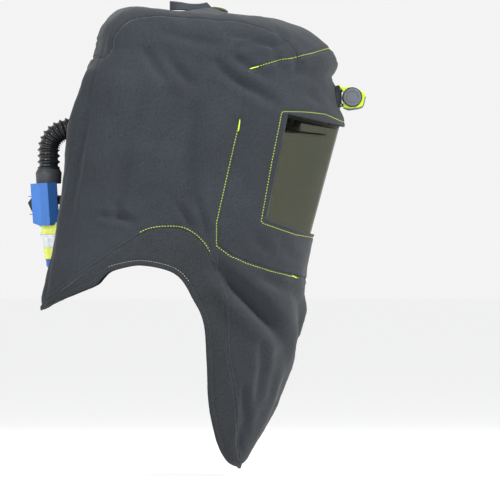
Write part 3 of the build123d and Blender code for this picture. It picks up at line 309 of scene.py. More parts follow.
def tintedSheet(name, tint, roughness, haze):
    # polycarbonate sheet: light passes straight through and is tinted, the surface mirrors more at a slant;
    # wipe marks vary the gloss
    material = bpy.data.materials.new(name)
    material.use_nodes = True
    tree = material.node_tree
    tree.nodes.remove(tree.nodes["Principled BSDF"])
    place = add(tree, "ShaderNodeTexCoord")
    wipes = add(tree, "ShaderNodeTexNoise", {"Scale": 30.0, "Detail": 8.0, "Roughness": 0.7},
                {"Vector": place.outputs["Object"]})
    gloss = add(tree, "ShaderNodeMapRange", {"From Min": 0.35, "From Max": 0.75, "To Min": roughness, "To Max": haze},
                {"Value": wipes.outputs["Fac"]})
    slant = add(tree, "ShaderNodeLayerWeight", {"Blend": 0.5})
    steep = add(tree, "ShaderNodeMath", {"operation": "POWER", 1: 4.5}, {0: slant.outputs["Facing"]})
    through = add(tree, "ShaderNodeBsdfTransparent", {"Color": tint + (1,)})
    mirror = add(tree, "ShaderNodeBsdfGlossy", {"Color": (0.42, 0.41, 0.38, 1)},
                 {"Roughness": gloss.outputs["Result"]})
    share = add(tree, "ShaderNodeMath", {"operation": "MULTIPLY_ADD", 1: 0.4, 2: 0.008}, {0: steep.outputs[0]})
    mixed = add(tree, "ShaderNodeMixShader", links={0: share.outputs[0], 1: through.outputs[0], 2: mirror.outputs[0]})
    tree.links.new(mixed.outputs[0], tree.nodes["Material Output"].inputs["Surface"])
    return material


silverTape = reflectiveTape()
tintedPolycarbonate = tintedSheet("tintedPolycarbonate", (0.56, 0.57, 0.525), 0.0, 0.03)
clearPolycarbonate = tintedSheet("clearPolycarbonate", (0.97, 0.98, 0.98), 0.0, 0.03)


def studioSky():
    # white walls all round, dimmer overhead and underfoot, so that folds keep their shadows
    tree = world.node_tree
    way = add(tree, "ShaderNodeTexCoord")
    parts = add(tree, "ShaderNodeSeparateXYZ", links={0: way.outputs["Generated"]})
    height = add(tree, "ShaderNodeMath", {"operation": "ABSOLUTE"}, {0: parts.outputs["Z"]})
    bright = ramp(tree, height.outputs[0], (1, 1, 1, 1), (0.4, 0.41, 0.43, 1), 0.16, 0.5)
    tree.links.new(bright.outputs["Color"], tree.nodes["Background"].inputs["Color"])


studioSky()
print("materials made")


def finishPiece(bm, name, material, body, replaced=()):
    # writes a bmesh to an object at the origin and puts it on its body
    mesh = bpy.data.meshes.new(name)
    bm.to_mesh(mesh)
    bm.free()
    for polygon in mesh.polygons:
        polygon.use_smooth = True
    piece = bpy.data.objects.new(name, mesh)
    bpy.context.collection.objects.link(piece)
    mesh.materials.append(material)
    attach(piece, body)
    if replaced:
        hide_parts(*replaced)
    return piece


def softEdges(piece, width, segments, angle):
    # rounds the edges that are sharper than angle and keeps the faces flat
    bevel = piece.modifiers.new("edges", "BEVEL")
    bevel.width = width
    bevel.segments = segments
    bevel.limit_method = "ANGLE"
    bevel.angle_limit = radians(angle)
    bevel.harden_normals = False
    weighted = piece.modifiers.new("normals", "WEIGHTED_NORMAL")
    weighted.keep_sharp = True


def thicken(piece, thickness, offset=-1):
    solid = piece.modifiers.new("thickness", "SOLIDIFY")
    solid.thickness = thickness
    solid.offset = offset
    solid.use_rim = True


def mapGrid(columns, rows, place, closed=False):
    # a grid whose points are moved by place(u, v), with u and v from 0 to 1, and a UV map from place's second result
    bm = bmesh.new()
    bmesh.ops.create_grid(bm, x_segments=columns, y_segments=rows, size=0.5)
    uvLayer = bm.loops.layers.uv.new("cloth")
    where = {}
    for vert in bm.verts:
        where[vert] = place(vert.co.x + 0.5, vert.co.y + 0.5)
    for face in bm.faces:
        for loop in face.loops:
            loop[uvLayer].uv = where[loop.vert][1]
    for vert, (spot, _) in where.items():
        vert.co = spot
    if closed:
        bmesh.ops.remove_doubles(bm, verts=bm.verts, dist=0.00002)
    return bm


def refined(node, material, width, segments=2):
    # a CAD part with its edges rounded and its flat faces joined, in place of the plain one
    bm = bmesh.new()
    bm.from_mesh(nodes[node].data)
    bmesh.ops.remove_doubles(bm, verts=bm.verts, dist=0.00001)
    bmesh.ops.dissolve_limit(bm, angle_limit=radians(0.5), verts=bm.verts, edges=bm.edges)
    bmesh.ops.recalc_face_normals(bm, faces=bm.faces)
    piece = finishPiece(bm, node + "_shell", material, nodes[node]["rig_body"], [node])
    softEdges(piece, width, segments, 30)
    return piece


def paint(node, material):
    nodes[node].data.materials.clear()
    nodes[node].data.materials.append(material)


# the hood's cloth: one sheet over the whole hood, cut into its panels
hood = {
    # height on the origin's axis, forward lean in degrees, front, back, half width, hollow of the back, in mm
    "levels": [
        (-560, 0, 8, -296, 62, 24), (-500, 0, 54, -299, 98, 31), (-420, 0, 92, -298, 126, 36),
        (-340, 0, 120, -295, 146, 40), (-270, 0, 130, -289, 156, 42), (-174, 0, 145, -271, 153, 38),
        (-85, 0, 169.3, -261, 149.5, 34), (-25, 5, 181.3, -250, 148.5, 28), (34, 10, 193, -224, 147, 17),
        (66, 8, 182.5, -207, 143, 6),
    ],
    "crownTop": 171.0, "crownLean": 4.5, "crownDepth": 66.0,
    "crownFront": 182.0, "crownBack": -190.0, "crownHalf": 138.0,
    "roundFront": 125.0, "roundBack": 55.0, "roundSide": 56.0,
    "columns": 236, "rowStep": 4.6, "crownRows": 22, "capRows": 16, "dome": 2.5,
    "thickness": 2.8, "crownHalfStrip": 112.0, "backHalfStrip": 78.0,
    # side outlines as (X, Z) in mm
    "hem": [(-300, -300), (-276, -287), (-248, -272), (-194, -250), (-182, -239), (-168, -227), (-133, -218.5),
            (-112, -218.5), (-88, -223), (-70, -230), (-56, -243), (-43, -266), (-25, -305), (-20, -370), (-17, -432),
            (-6, -485), (10, -519), (29, -531), (48, -545)],
    "bandSeam": [(-300, -292), (-270, -275), (-203, -225), (-137, -180), (-106, -164), (-75, -161), (-54, -164),
                 (-33, -178), (-16, -203), (2, -251), (10, -303), (12, -355), (22, -407), (27, -476), (33, -560)],
    "windowPanel": [(43, 81), (34, 7), (16, -72), (-2, -152), (-2, -186), (18, -201), (43, -212), (77, -223),
                    (121, -234), (230, -262), (230, 128), (200, 124), (167, 115), (144, 107), (110, 98), (94, 96),
                    (62, 86)],
    "belowWindow": [(-2, -186), (18, -201), (43, -212), (77, -223), (121, -234), (230, -262), (330, -262),
                    (330, -600), (-2, -600)],
    "lensOpening": [(230, -10), (188, -2), (105, 14), (88.5, -66), (72, -147), (141, -169), (230, -186)],
    "windowStitch": [(240, 0), (189, 5), (163, 15.5), (140, 18), (124, 18.6), (95.5, 19), (79, -66), (63.5, -152),
                     (90, -161), (118, -170.5), (143, -174.5), (230, -196)],
    "crownRegion": [(-330, 112), (-120, 96), (43, 80), (330, 120), (330, 300), (-330, 300)],
    "rearSeam": [(-176, 130), (-181, 104), (-192, 76), (-210, 14), (-223, -31), (-245, -118), (-255, -180),
                 (-264, -240), (-272, -300), (-400, -300), (-400, 130)],
    "port": (-222.5, -2.0, 17.6),
}


def between(four, t):
    # the curve through four tuples, at share t of the way from the second to the third
    return tuple(0.5 * (2 * b + (c - a) * t + (2 * a - 5 * b + 4 * c - d) * t * t + (3 * b - a - 3 * c + d) * t ** 3)
                 for a, b, c, d in zip(*four))


def smoothLine(points, steps=6):
    # a curve through the points
    line = []
    for i in range(len(points) - 1):
        four = [points[max(i - 1, 0)], points[i], points[i + 1], points[min(i + 2, len(points) - 1)]]
        line += [between(four, k / steps) for k in range(steps)]
    line.append(points[-1])
    return line


def levelRows(s):
    # one (height, lean, front, back, half width, hollow) for each row of the cloth, from the bottom up
    body = [tuple(float(v) for v in level) for level in s["levels"]]
    brow = (s["crownTop"] - s["crownDepth"], s["crownLean"], s["crownFront"], s["crownBack"], s["crownHalf"], 0.0)
    above = (brow[0] + 14, s["crownLean"], s["crownFront"] - 1.5, s["crownBack"] + 1, s["crownHalf"] - 1, 0.0)
    rows = []
    chain = body + [brow, above]
    for i in range(len(chain) - 2):
        steps = max(2, round(abs(chain[i + 1][0] - chain[i][0]) / s["rowStep"]))
        four = [chain[max(i - 1, 0)], chain[i], chain[i + 1], chain[i + 2]]
        rows += [between(four, k / steps) for k in range(steps)]
    for k in range(s["crownRows"] + 1):
        angle = pi / 2 * k / s["crownRows"]
        turn, share = 1 - cos(angle), 1 - sin(angle)
        rows.append((s["crownTop"] - s["crownDepth"] * share, s["crownLean"],
                     s["crownFront"] - s["roundFront"] * turn, s["crownBack"] + s["roundBack"] * turn,
                     s["crownHalf"] - s["roundSide"] * turn, 0.0))
    return rows


def evenOutline(front, back, half, hollow, lean, columns):
    # points round one row, evenly spaced, from the middle of the back round to it again
    angles = np.linspace(-pi, pi, 721)
    along, across = np.cos(angles), np.sin(angles)
    centre = front - half * 1.06
    x = np.where(along >= 0, centre + (front - centre) * along, centre - (centre - back) * np.abs(along) ** 0.3)
    y = np.where(along >= 0, half * across, half * np.abs(across) ** 0.72 * np.sign(across))
    x = x + np.where(along < 0, hollow * np.clip(1 - (y / (0.7 * half)) ** 4, 0, None) ** 2, 0)
    x = x / cos(radians(lean))
    travel = np.concatenate([[0], np.cumsum(np.hypot(np.diff(x), np.diff(y)))])
    at = np.linspace(0, travel[-1], columns + 1)
    return np.interp(at, travel, x), np.interp(at, travel, y), at - travel[-1] / 2


def clothGrid(s):
    # the whole hood as one sheet, open only at the bottom
    rows = levelRows(s)
    places, lengths, climbs = [], [], []
    climb = 0.0
    last = None
    for height, lean, front, back, half, hollow in rows:
        u, y, run = evenOutline(front, back, half, hollow, lean, s["columns"])
        a = radians(lean)
        spots = np.stack([u * cos(a), y, height - u * sin(a)], axis=1)
        if last is not None:
            climb += float(np.linalg.norm(spots - last, axis=1).mean())
        last = spots
        places.append(spots)
        lengths.append(run)
        climbs.append(climb)
    top = places[-1]
    heart = top.mean(axis=0)
    for k in range(1, s["capRows"] + 1):
        share = 1 - k / s["capRows"]
        spots = heart + (top - heart) * share
        spots[:, 2] += s["dome"] * (1 - share * share)
        places.append(spots)
        lengths.append(lengths[len(rows) - 1] * share)
        climbs.append(climb + float(np.linalg.norm(top - heart, axis=1).mean()) * (1 - share))
    places, lengths = np.array(places), np.array(lengths)
    bm = bmesh.new()
    bmesh.ops.create_grid(bm, x_segments=s["columns"], y_segments=len(places) - 1, size=0.5)
    run = bm.verts.layers.float.new("run")
    rise = bm.verts.layers.float.new("rise")
    for vert in bm.verts:
        column = round((vert.co.x + 0.5) * s["columns"])
        row = round((vert.co.y + 0.5) * (len(places) - 1))
        vert[run] = abs(lengths[row][column])
        vert[rise] = climbs[row]
        vert.co = places[row][column]
    bmesh.ops.remove_doubles(bm, verts=bm.verts, dist=0.01)
    return bm


def outlineField(outline):
    # distance in mm from a side outline, negative inside it
    line = np.array(outline, float)
    a, b = line, np.roll(line, -1, axis=0)
    d = b - a

    def field(points):
        p = points[:, [0, 2]]
        to = p[:, None, :] - a[None]
        t = np.clip((to * d).sum(2) / (d * d).sum(1), 0, 1)
        near = np.linalg.norm(to - t[..., None] * d, axis=2).min(1)
        crosses = (a[:, 1] > p[:, 1:2]) != (b[:, 1] > p[:, 1:2])
        with np.errstate(divide="ignore", invalid="ignore"):
            at = a[:, 0] + (p[:, 1:2] - a[:, 1]) / np.where(d[:, 1] == 0, 1e-9, d[:, 1]) * d[:, 0]
        inside = (crosses & (p[:, 0:1] < at)).sum(1) % 2 == 1
        return np.where(inside, -near, near)
    return field


def pointsOf(bm):
    bm.verts.index_update()
    return np.array([vert.co for vert in bm.verts])


def cutAlong(bm, field, shift, mark):
    # splits faces where the field passes shift, and writes mark on the new line of edges
    values = field(pointsOf(bm)) - shift
    values[np.abs(values) < 0.25] = 0
    onLine = {vert: True for vert in bm.verts if values[vert.index] == 0}  # in order, as a set's changes each run
    crossing = [e for e in bm.edges if values[e.verts[0].index] * values[e.verts[1].index] < 0]
    for edge in crossing:
        first = edge.verts[0]
        t = values[first.index] / (values[first.index] - values[edge.other_vert(first).index])
        onLine[bmesh.utils.edge_split(edge, first, t)[1]] = True
    bmesh.ops.connect_verts(bm, verts=list(onLine))
    layer = bm.edges.layers.int.get("line") or bm.edges.layers.int.new("line")
    if mark:
        for vert in onLine:
            for edge in vert.link_edges:
                if edge.other_vert(vert) in onLine and len(edge.link_faces) > 0:
                    edge[layer] = mark


hemField = outlineField(smoothLine(hood["hem"]) + [(330, -531), (330, 400), (-400, 400), (-400, -300)])
bandField = outlineField(smoothLine(hood["bandSeam"]) + [(330, -560), (330, 400), (-400, 400), (-400, -292)])
windowField = outlineField(hood["windowPanel"])
belowField = outlineField(hood["belowWindow"])
rearSeamField = outlineField(hood["rearSeam"])
openingField = outlineField(hood["lensOpening"])
windowStitchField = outlineField(hood["windowStitch"])
crownOutline = outlineField(hood["crownRegion"])


def crownField(p):
    return np.maximum(crownOutline(p), np.abs(p[:, 1]) - hood["crownHalfStrip"])


def backField(p):
    return np.maximum(np.abs(p[:, 1]) - hood["backHalfStrip"], np.maximum(p[:, 0], -crownField(p)))


def portField(p):
    x, z, radius = hood["port"]
    across = np.hypot(p[:, 1], p[:, 2] - z) - radius
    return np.maximum(across, p[:, 0] + 150)


marks = {"hemStitch": 1, "bandStitch": 2, "browStitch": 3, "windowStitch": 4, "crownStitch": 5, "backStitch": 6,
         "belowStitch": 7}


def removeFaces(bm, keep):
    # keep is a test on the face centres, in mm
    centres = np.array([face.calc_center_median() for face in bm.faces])
    gone = [face for face, stays in zip(list(bm.faces), keep(centres)) if not stays]
    bmesh.ops.delete(bm, geom=gone, context="FACES")


cloth = clothGrid(hood)
cutAlong(cloth, hemField, 0, 0)
removeFaces(cloth, lambda c: hemField(c) < 0)
cutAlong(cloth, openingField, 0, 0)
removeFaces(cloth, lambda c: ~((openingField(c) < 0) & (c[:, 0] > 60)))
cutAlong(cloth, portField, 0, 0)
removeFaces(cloth, lambda c: portField(c) > 0)
# seams: field, mark of the stitches, their distance from the seam and the seam's depth, in mm
seams = [(bandField, "bandStitch", -4.0, 1.5), (windowField, "browStitch", 2.8, 1.2),
         (crownField, "crownStitch", -4.5, 0.8), (backField, "backStitch", 4.5, 1.2)]
for field, mark, stitchAt, _ in seams:
    for shift in (0, -1.9, 1.9):
        cutAlong(cloth, field, shift, 0)
    cutAlong(cloth, field, stitchAt, marks[mark])
# more cuts: field, distance from its outline in mm, mark
laterCuts = [
    (rearSeamField, 0, 0), (rearSeamField, 2.0, 0), (rearSeamField, -2.0, 0), (belowField, 0, 0),
    (windowStitchField, 0, marks["windowStitch"]), (windowStitchField, 2.2, 0), (windowStitchField, -2.2, 0),
    (hemField, -3.0, 0), (hemField, -8.0, marks["hemStitch"]), (hemField, -10.5, 0), (openingField, 3.0, 0),
]
for field, shift, mark in laterCuts:
    cutAlong(cloth, field, shift, mark)
print("cloth cut:", len(cloth.faces), "faces")

panelNames = ["crown_panel", "back_panel", "side_panel_left", "side_panel_right", "window_panel", "front_bib",
              "shoulder_band_left", "shoulder_band_right"]


def panelOf(c):
    left = c[:, 1] > 0
    panel = np.where(left, 2, 3)
    panel = np.where(backField(c) < 0, 1, panel)
    panel = np.where(crownField(c) < 0, 0, panel)
    panel = np.where(belowField(c) < 0, 5, panel)
    panel = np.where(bandField(c) > 0, np.where(left, 6, 7), panel)
    return np.where((windowField(c) < 0) & (c[:, 0] > -20), 4, panel)


panelLayer = cloth.faces.layers.int.new("panel")
centres = np.array([face.calc_center_median() for face in cloth.faces])
for face, panel in zip(cloth.faces, panelOf(centres)):
    face[panelLayer] = int(panel)

# each fold: points as (X, Z) in mm, depth (a ridge if negative), half width
folds = {
    "right": [
        ([(79, 126), (88, 104), (96, 78)], 3.4, 6), ([(-88, 108), (-60, 76), (-36, 56)], 4.5, 8),
        ([(-120, 120), (-96, 84), (-78, 62)], 3.6, 8), ([(-14, 100), (24, 68), (60, 46), (100, 24)], 5.5, 8),
        ([(10, 108), (50, 84), (84, 66)], 3.6, 7), ([(24, 116), (60, 124), (98, 120)], 4.6, 5),
        ([(8, 138), (50, 130), (84, 128)], 3.6, 5), ([(86, 148), (97, 134), (99, 116)], 5.0, 5),
        ([(-96, 146), (-40, 128), (4, 120)], 3.6, 8), ([(110, 112), (120, 94), (118, 70)], 3.0, 7),
        ([(-160, -118), (-156, -138), (-128, -156)], 4.2, 6), ([(-66, -122), (-48, -150), (-38, -162)], 4.2, 5),
        ([(-38, -110), (-24, -150), (-18, -180)], 3.4, 5), ([(-190, -138), (-160, -146), (-140, -143)], 3.2, 5),
        ([(-9, -214), (22, -250), (60, -285), (88, -313), (105, -341), (102, -383)], 13.0, 11),
        ([(-10, -250), (24, -292), (56, -330), (66, -380)], -3.6, 13),
        ([(34, -222), (76, -256), (108, -280), (122, -300)], -3.0, 12),
        ([(63, -330), (66, -380), (58, -430)], 4.5, 7), ([(36, -400), (40, -450), (30, -505)], 4.0, 6),
        ([(86, -372), (78, -420), (60, -462)], 4.0, 6), ([(-196, 60), (-214, -40), (-236, -160)], 4.0, 7),
        ([(-150, 84), (-182, -40), (-198, -150)], -3.4, 20), ([(-120, 60), (-150, -60), (-160, -150)], 3.0, 11),
        ([(-70, 40), (-92, -60), (-96, -130)], -3.0, 20), ([(-40, 36), (-52, -50), (-50, -120)], 3.0, 10),
        ([(-4, 20), (-22, -80), (-28, -150)], -2.4, 16), ([(150, 60), (178, 34)], 3.4, 6),
        ([(112, 84), (150, 74), (176, 82)], 3.0, 7), ([(126, 50), (160, 34), (184, 34)], 2.6, 6),
        ([(120, 108), (172, 100)], -2.5, 8), ([(100, -195), (130, -214), (140, -240)], 4.0, 7),
        ([(52, -160), (58, -182), (84, -204)], 2.4, 8), ([(60, -235), (120, -262)], 4.6, 8),
        ([(52, 60), (56, -20), (44, -110)], -1.8, 12),
    ],
    "left": [
        ([(70, 120), (98, 76)], 3.8, 7), ([(-96, 104), (-30, 62)], 4.6, 9),
        ([(-20, 94), (46, 56), (96, 30)], 5.0, 8), ([(12, 146), (70, 134), (110, 128)], 3.6, 5),
        ([(28, 112), (70, 122), (100, 118)], 4.0, 5), ([(-110, 140), (-50, 128), (0, 122)], 3.4, 8),
        ([(-140, -120), (-120, -148)], 4.0, 7), ([(-64, -128), (-40, -158)], 4.0, 6),
        ([(0, -218), (40, -258), (78, -300), (96, -346), (88, -400)], 12.0, 12),
        ([(10, -262), (52, -310), (66, -360)], -5.5, 13), ([(40, -390), (44, -470)], 4.0, 7),
        ([(80, -380), (66, -440)], 4.0, 7), ([(-200, 40), (-222, -80), (-244, -200)], 3.6, 8),
        ([(-110, 60), (-140, -70), (-150, -150)], -3.4, 22), ([(-50, 40), (-62, -60), (-56, -140)], 3.0, 11),
        ([(90, -205), (136, -240)], 4.0, 8), ([(120, 60), (176, 34)], 3.0, 7),
    ],
}
backFolds = [([(-44, 60), (-50, -60), (-40, -230)], 4.0, 11), ([(46, 60), (52, -90), (44, -240)], 4.0, 12),
             ([(-70, 124), (0, 96), (66, 128)], 4.0, 9), ([(-84, 40), (-96, -60), (-92, -180)], 4.0, 10),
             ([(88, 30), (98, -80), (94, -190)], 4.0, 10), ([(-60, -120), (0, -150), (60, -128)], 3.0, 12)]
bibFolds = [([(-70, -255), (-20, -300), (8, -370)], 5.0, 14), ([(60, -262), (26, -320), (18, -420)], 4.5, 14),
            ([(-40, -380), (-16, -450), (-4, -510)], 3.0, 11), ([(0, -262), (4, -330)], -3.5, 22)]


def foldDepth(flat, line, depth, width):
    # how far each point of the cloth is pushed in by one fold, which fades out at its ends
    line = np.array(line, float)
    best = np.full(len(flat), 1e9)
    fade = np.zeros(len(flat))
    total = np.linalg.norm(np.diff(line, axis=0), axis=1).sum()
    gone = 0.0
    for a, b in zip(line[:-1], line[1:]):
        d = b - a
        length = float(np.hypot(*d))
        t = np.clip(((flat - a) @ d) / (length * length), 0, 1)
        away = np.linalg.norm(flat - a - t[:, None] * d, axis=1)
        nearer = away < best
        share = (gone + t * length) / total
        best = np.where(nearer, away, best)
        fade = np.where(nearer, np.clip(np.sin(pi * share), 0, 1) ** 0.5, fade)
        gone += length
    r = best / width
    return depth * fade * (np.exp(-r ** 1.4) - 0.4 * np.exp(-(r - 1.9) ** 2))


# unevenness of the cloth: height in mm, waves for each mm, offset of the noise
lumps = [(3.0, 0.012, (3.1, 0, 7.7)), (1.5, 0.034, (11.0, 5.0, 2.0)), (0.5, 0.11, (0, 0, 0)), (0.3, 0.24, (0, 0, 0))]


def drape(bm):
    # folds, sag and puckers, pushed in or out along the cloth's own normals
    bm.normal_update()
    p = pointsOf(bm)
    normals = np.array([vert.normal for vert in bm.verts])
    side, facing = p[:, [0, 2]], p[:, [1, 2]]
    push = np.zeros(len(p))
    sideways = np.clip(np.abs(normals[:, 1]) * 1.5 - 0.25, 0, 1)
    for which, way in (("right", -1), ("left", 1)):
        for line, depth, width in folds[which]:
            push += 1.35 * np.where(p[:, 1] * way > 0, foldDepth(side, line, depth, width), 0) * sideways
    backwards = np.clip(-normals[:, 0] * 1.6 - 0.3, 0, 1)
    for line, depth, width in backFolds:
        push += foldDepth(facing, line, depth, width) * backwards
    forwards = np.clip(normals[:, 0] * 1.6 - 0.4, 0, 1) * (p[:, 2] < -250)
    for line, depth, width in bibFolds:
        push += foldDepth(facing, line, depth, width) * forwards
    nose = np.clip(normals[:, 0] * 1.6 - 0.5, 0, 1) * np.exp(-(p[:, 1] / 75) ** 2)
    push += nose * (7.0 * np.exp(-((p[:, 2] - 72) / 8) ** 2) - 2.0 * np.exp(-((p[:, 2] - 94) / 9) ** 2))
    push -= 2.5 * np.clip(normals[:, 0] * 1.6 - 0.5, 0, 1) * np.exp(-((p[:, 2] + 285) / 12) ** 2)
    calm = np.clip((openingField(p) + 2) / 26, 0.1, 1) * np.clip((portField(p)) / 30, 0.05, 1)
    for i, spot in enumerate(p):
        push[i] += sum(height * noise.noise(Vector(spot) * scale + Vector(offset)) for height, scale, offset in lumps)
    push *= calm
    plainEdge = (p[:, 0] < 46) & (p[:, 2] > 8) & (p[:, 2] < 80)
    for field, mark, _, depth in seams:
        depths = np.where(plainEdge & (mark == "browStitch"), 0, depth)
        push += depths * np.exp(-(field(p) / 1.6) ** 2) * (np.abs(hemField(p)) > 1)
    rear = rearSeamField(p)
    push += 1.2 * np.exp(-(rear / 1.8) ** 2) - 0.9 * np.exp(-((rear - 5) / 3) ** 2)
    # the stitches pull the cloth in, and it puffs up beside them
    for field, at in ((windowStitchField, 0.0), (hemField, -8.0), (bandField, -4.0), (windowField, 2.8)):
        away = field(p) - at
        push += 0.8 * np.exp(-(away / 1.7) ** 2) - 0.5 * np.exp(-((np.abs(away) - 4.5) / 2.2) ** 2)
    # puckers along the shoulder band
    ripple = np.sin(p[:, 0] * 0.42 + 2 * np.sin(p[:, 2] * 0.05)) * np.exp(-((bandField(p) + 9) / 8) ** 2)
    push += 0.7 * ripple
    for vert, shift in zip(bm.verts, push):
        vert.co -= Vector(vert.normal) * float(shift)


def crownRise(bm):
    # the crown rises under the loop's root and dips behind it
    for vert in bm.verts:
        x, y, z = vert.co
        if z > 150:
            hump = 6.5 * np.exp(-((x + 14) / 22) ** 2 - (y / 46) ** 2)
            dip = 5.5 * np.exp(-((x + 70) / 22) ** 2 - (y / 80) ** 2)
            vert.co.z += float(hump - dip)


crownRise(cloth)
drape(cloth)
cloth.normal_update()
surfaceTree = BVHTree.FromBMesh(cloth)


def lineChains(bm, mark):
    # the marked edges as runs of (point, normal), each run in order
    layer = bm.edges.layers.int["line"]
    left = {edge: True for edge in bm.edges if edge[layer] == mark}
    chains = []
    while left:
        start = next(iter(left))
        del left[start]
        chain = [start.verts[0], start.verts[1]]
        for end in (0, -1):
            while True:
                tip = chain[end]
                onward = [e for e in tip.link_edges if e in left]
                if not onward:
                    break
                del left[onward[0]]
                nextVert = onward[0].other_vert(tip)
                if end == 0:
                    chain.insert(0, nextVert)
                else:
                    chain.append(nextVert)
        chains.append([(vert.co.copy(), vert.normal.copy()) for vert in chain])
    return chains


stitchSize = {"pitch": 4.4, "length": 2.5, "width": 1.2, "height": 0.8}


def beadMesh(name, places, material):
    # one small flattened bead for each stitch, all of them in one mesh
    seed = bmesh.new()
    bmesh.ops.create_uvsphere(seed, u_segments=7, v_segments=5, radius=1)
    bead = bpy.data.meshes.new("bead")
    seed.to_mesh(bead)
    seed.free()
    bm = bmesh.new()
    for place in places:
        stitch = bead.copy()
        stitch.transform(Matrix.Scale(mm, 4) @ place)
        bm.from_mesh(stitch)
        bpy.data.meshes.remove(stitch)
    bpy.data.meshes.remove(bead)
    return finishPiece(bm, name, material, "root")


def sewStitches(places, chain, keep, size):
    # a place for each stitch along a run
    travel = 0.0
    due = size["pitch"] / 2
    for (a, normalA), (b, _) in zip(chain[:-1], chain[1:]):
        step = (b - a).length
        while step > 0 and due <= travel + step:
            spot = a.lerp(b, (due - travel) / step)
            due += size["pitch"]
            if not keep(spot):
                continue
            along = (b - a).normalized()
            up = (normalA - along * normalA.dot(along)).normalized()
            across = up.cross(along)
            turned = Matrix((along, across, up)).transposed().to_4x4()
            scale = Matrix.Diagonal((size["length"] / 2, size["width"] / 2, size["height"] / 2, 1))
            places.append(Matrix.Translation(spot + up * size["height"] * 0.2) @ turned @ scale)
        travel += step


def barTack(places, place, up, along, length=15.0, width=2.2):
    # close zigzag stitches side by side
    across = up.cross(along)
    turned = Matrix((along, across, up)).transposed().to_4x4()
    for k in range(13):
        spot = place + along * (k / 12 - 0.5) * length
        scale = Matrix.Diagonal((0.75, width / 2, 0.5, 1))
        places.append(Matrix.Translation(spot + up * 0.3) @ turned @ scale)


yellow, charcoal, pale = [], [], []
for chain in lineChains(cloth, marks["browStitch"]):
    sewStitches(yellow, chain, lambda q: q.z > 76 and q.x > 44 or q.z < 6 and (q.z > -200 or q.x < 122), stitchSize)
for chain in lineChains(cloth, marks["windowStitch"]):
    sewStitches(yellow, chain, lambda q: True, stitchSize)
for chain in lineChains(cloth, marks["bandStitch"]):
    sewStitches(yellow, chain, lambda q: -125 < q.x < -14 and q.z > -206, stitchSize)
    sewStitches(charcoal, chain, lambda q: not (-125 < q.x < -14 and q.z > -206), stitchSize)
for chain in lineChains(cloth, marks["hemStitch"]):
    sewStitches(pale, chain, lambda q: -172 < q.x < -46 and q.z > -246, stitchSize)
    sewStitches(charcoal, chain, lambda q: not (-172 < q.x < -46 and q.z > -246), stitchSize)
for key in ("crownStitch", "backStitch"):
    for chain in lineChains(cloth, marks[key]):
        sewStitches(charcoal, chain, lambda q: True, stitchSize)
# bar tacks where the lines end, each as (X, Z) and the way it lies
tacks = [((52, 86), (0.967, 0.255)), ((29.9, -3), (0.14, 0.99)), ((115, -235.2), (0.97, -0.24))]
for side in (-1, 1):
    for (x, z), (wayX, wayZ) in tacks:
        hit, normal, _, _ = surfaceTree.ray_cast(Vector((x, side * 400, z)), Vector((0, -side, 0)))
        if hit:
            along = Vector((wayX, 0, wayZ))
            along = (along - normal * along.dot(normal)).normalized()
            barTack(yellow, hit, normal, along)
beadMesh("topstitch_fluorescent", yellow, fluorescentThread)
beadMesh("topstitch_charcoal", charcoal, charcoalThread)
beadMesh("topstitch_pale", pale, paleThread)
print("stitches sewn")


def clothPanel(source, index, name, material):
    # one panel of the cut cloth, in metres, with its thickness
    bm = source.copy()
    layer = bm.faces.layers.int["panel"]
    bmesh.ops.delete(bm, geom=[face for face in bm.faces if face[layer] != index], context="FACES")
    run, rise = bm.verts.layers.float["run"], bm.verts.layers.float["rise"]
    uvLayer = bm.loops.layers.uv.new("cloth")
    for face in bm.faces:
        way = 1 if face.calc_center_median().y > 0 else -1
        for loop in face.loops:
            loop[uvLayer].uv = (way * loop.vert[run] * mm, loop.vert[rise] * mm)
    area = sum(face.calc_area() for face in bm.faces) * mm * mm
    bmesh.ops.scale(bm, vec=(mm, mm, mm), verts=bm.verts)
    if facesInwards(bm):
        bmesh.ops.reverse_faces(bm, faces=bm.faces)
    piece = finishPiece(bm, name + "_cloth", material, "root", [name])
    thicken(piece, hood["thickness"] * mm)
    return piece, area


def facesInwards(bm):
    # true if the sheet's faces look in at the hood's middle
    total = sum(face.normal.dot(face.calc_center_median() - Vector((-0.03, 0, face.calc_center_median().z)))
                for face in bm.faces)
    return total < 0


# the flat size of each panel's pattern piece, width and length in metres
patternSizes = {
    "crown_panel": (0.30, 0.47), "back_panel": (0.17, 0.37), "side_panel_left": (0.36, 0.46),
    "side_panel_right": (0.36, 0.46), "window_panel": (0.52, 0.36), "front_bib": (0.38, 0.32),
    "shoulder_band_left": (0.12, 0.56), "shoulder_band_right": (0.12, 0.56),
}
clothPieces = {}
for index, name in enumerate(panelNames):
    material = aramidFacing if name.startswith("shoulder") else aramidTwill
    clothPieces[name], area = clothPanel(cloth, index, name, material)
    width, length = patternSizes[name]
    min(area, width * length)
print("hood cloth made")


# hanging loop and its tab, in mm
loopSettings = {"back": -78.0, "half": 15.2, "pivot": -13.0, "low": 179.8, "tall": 13.4, "tape": 1.9}


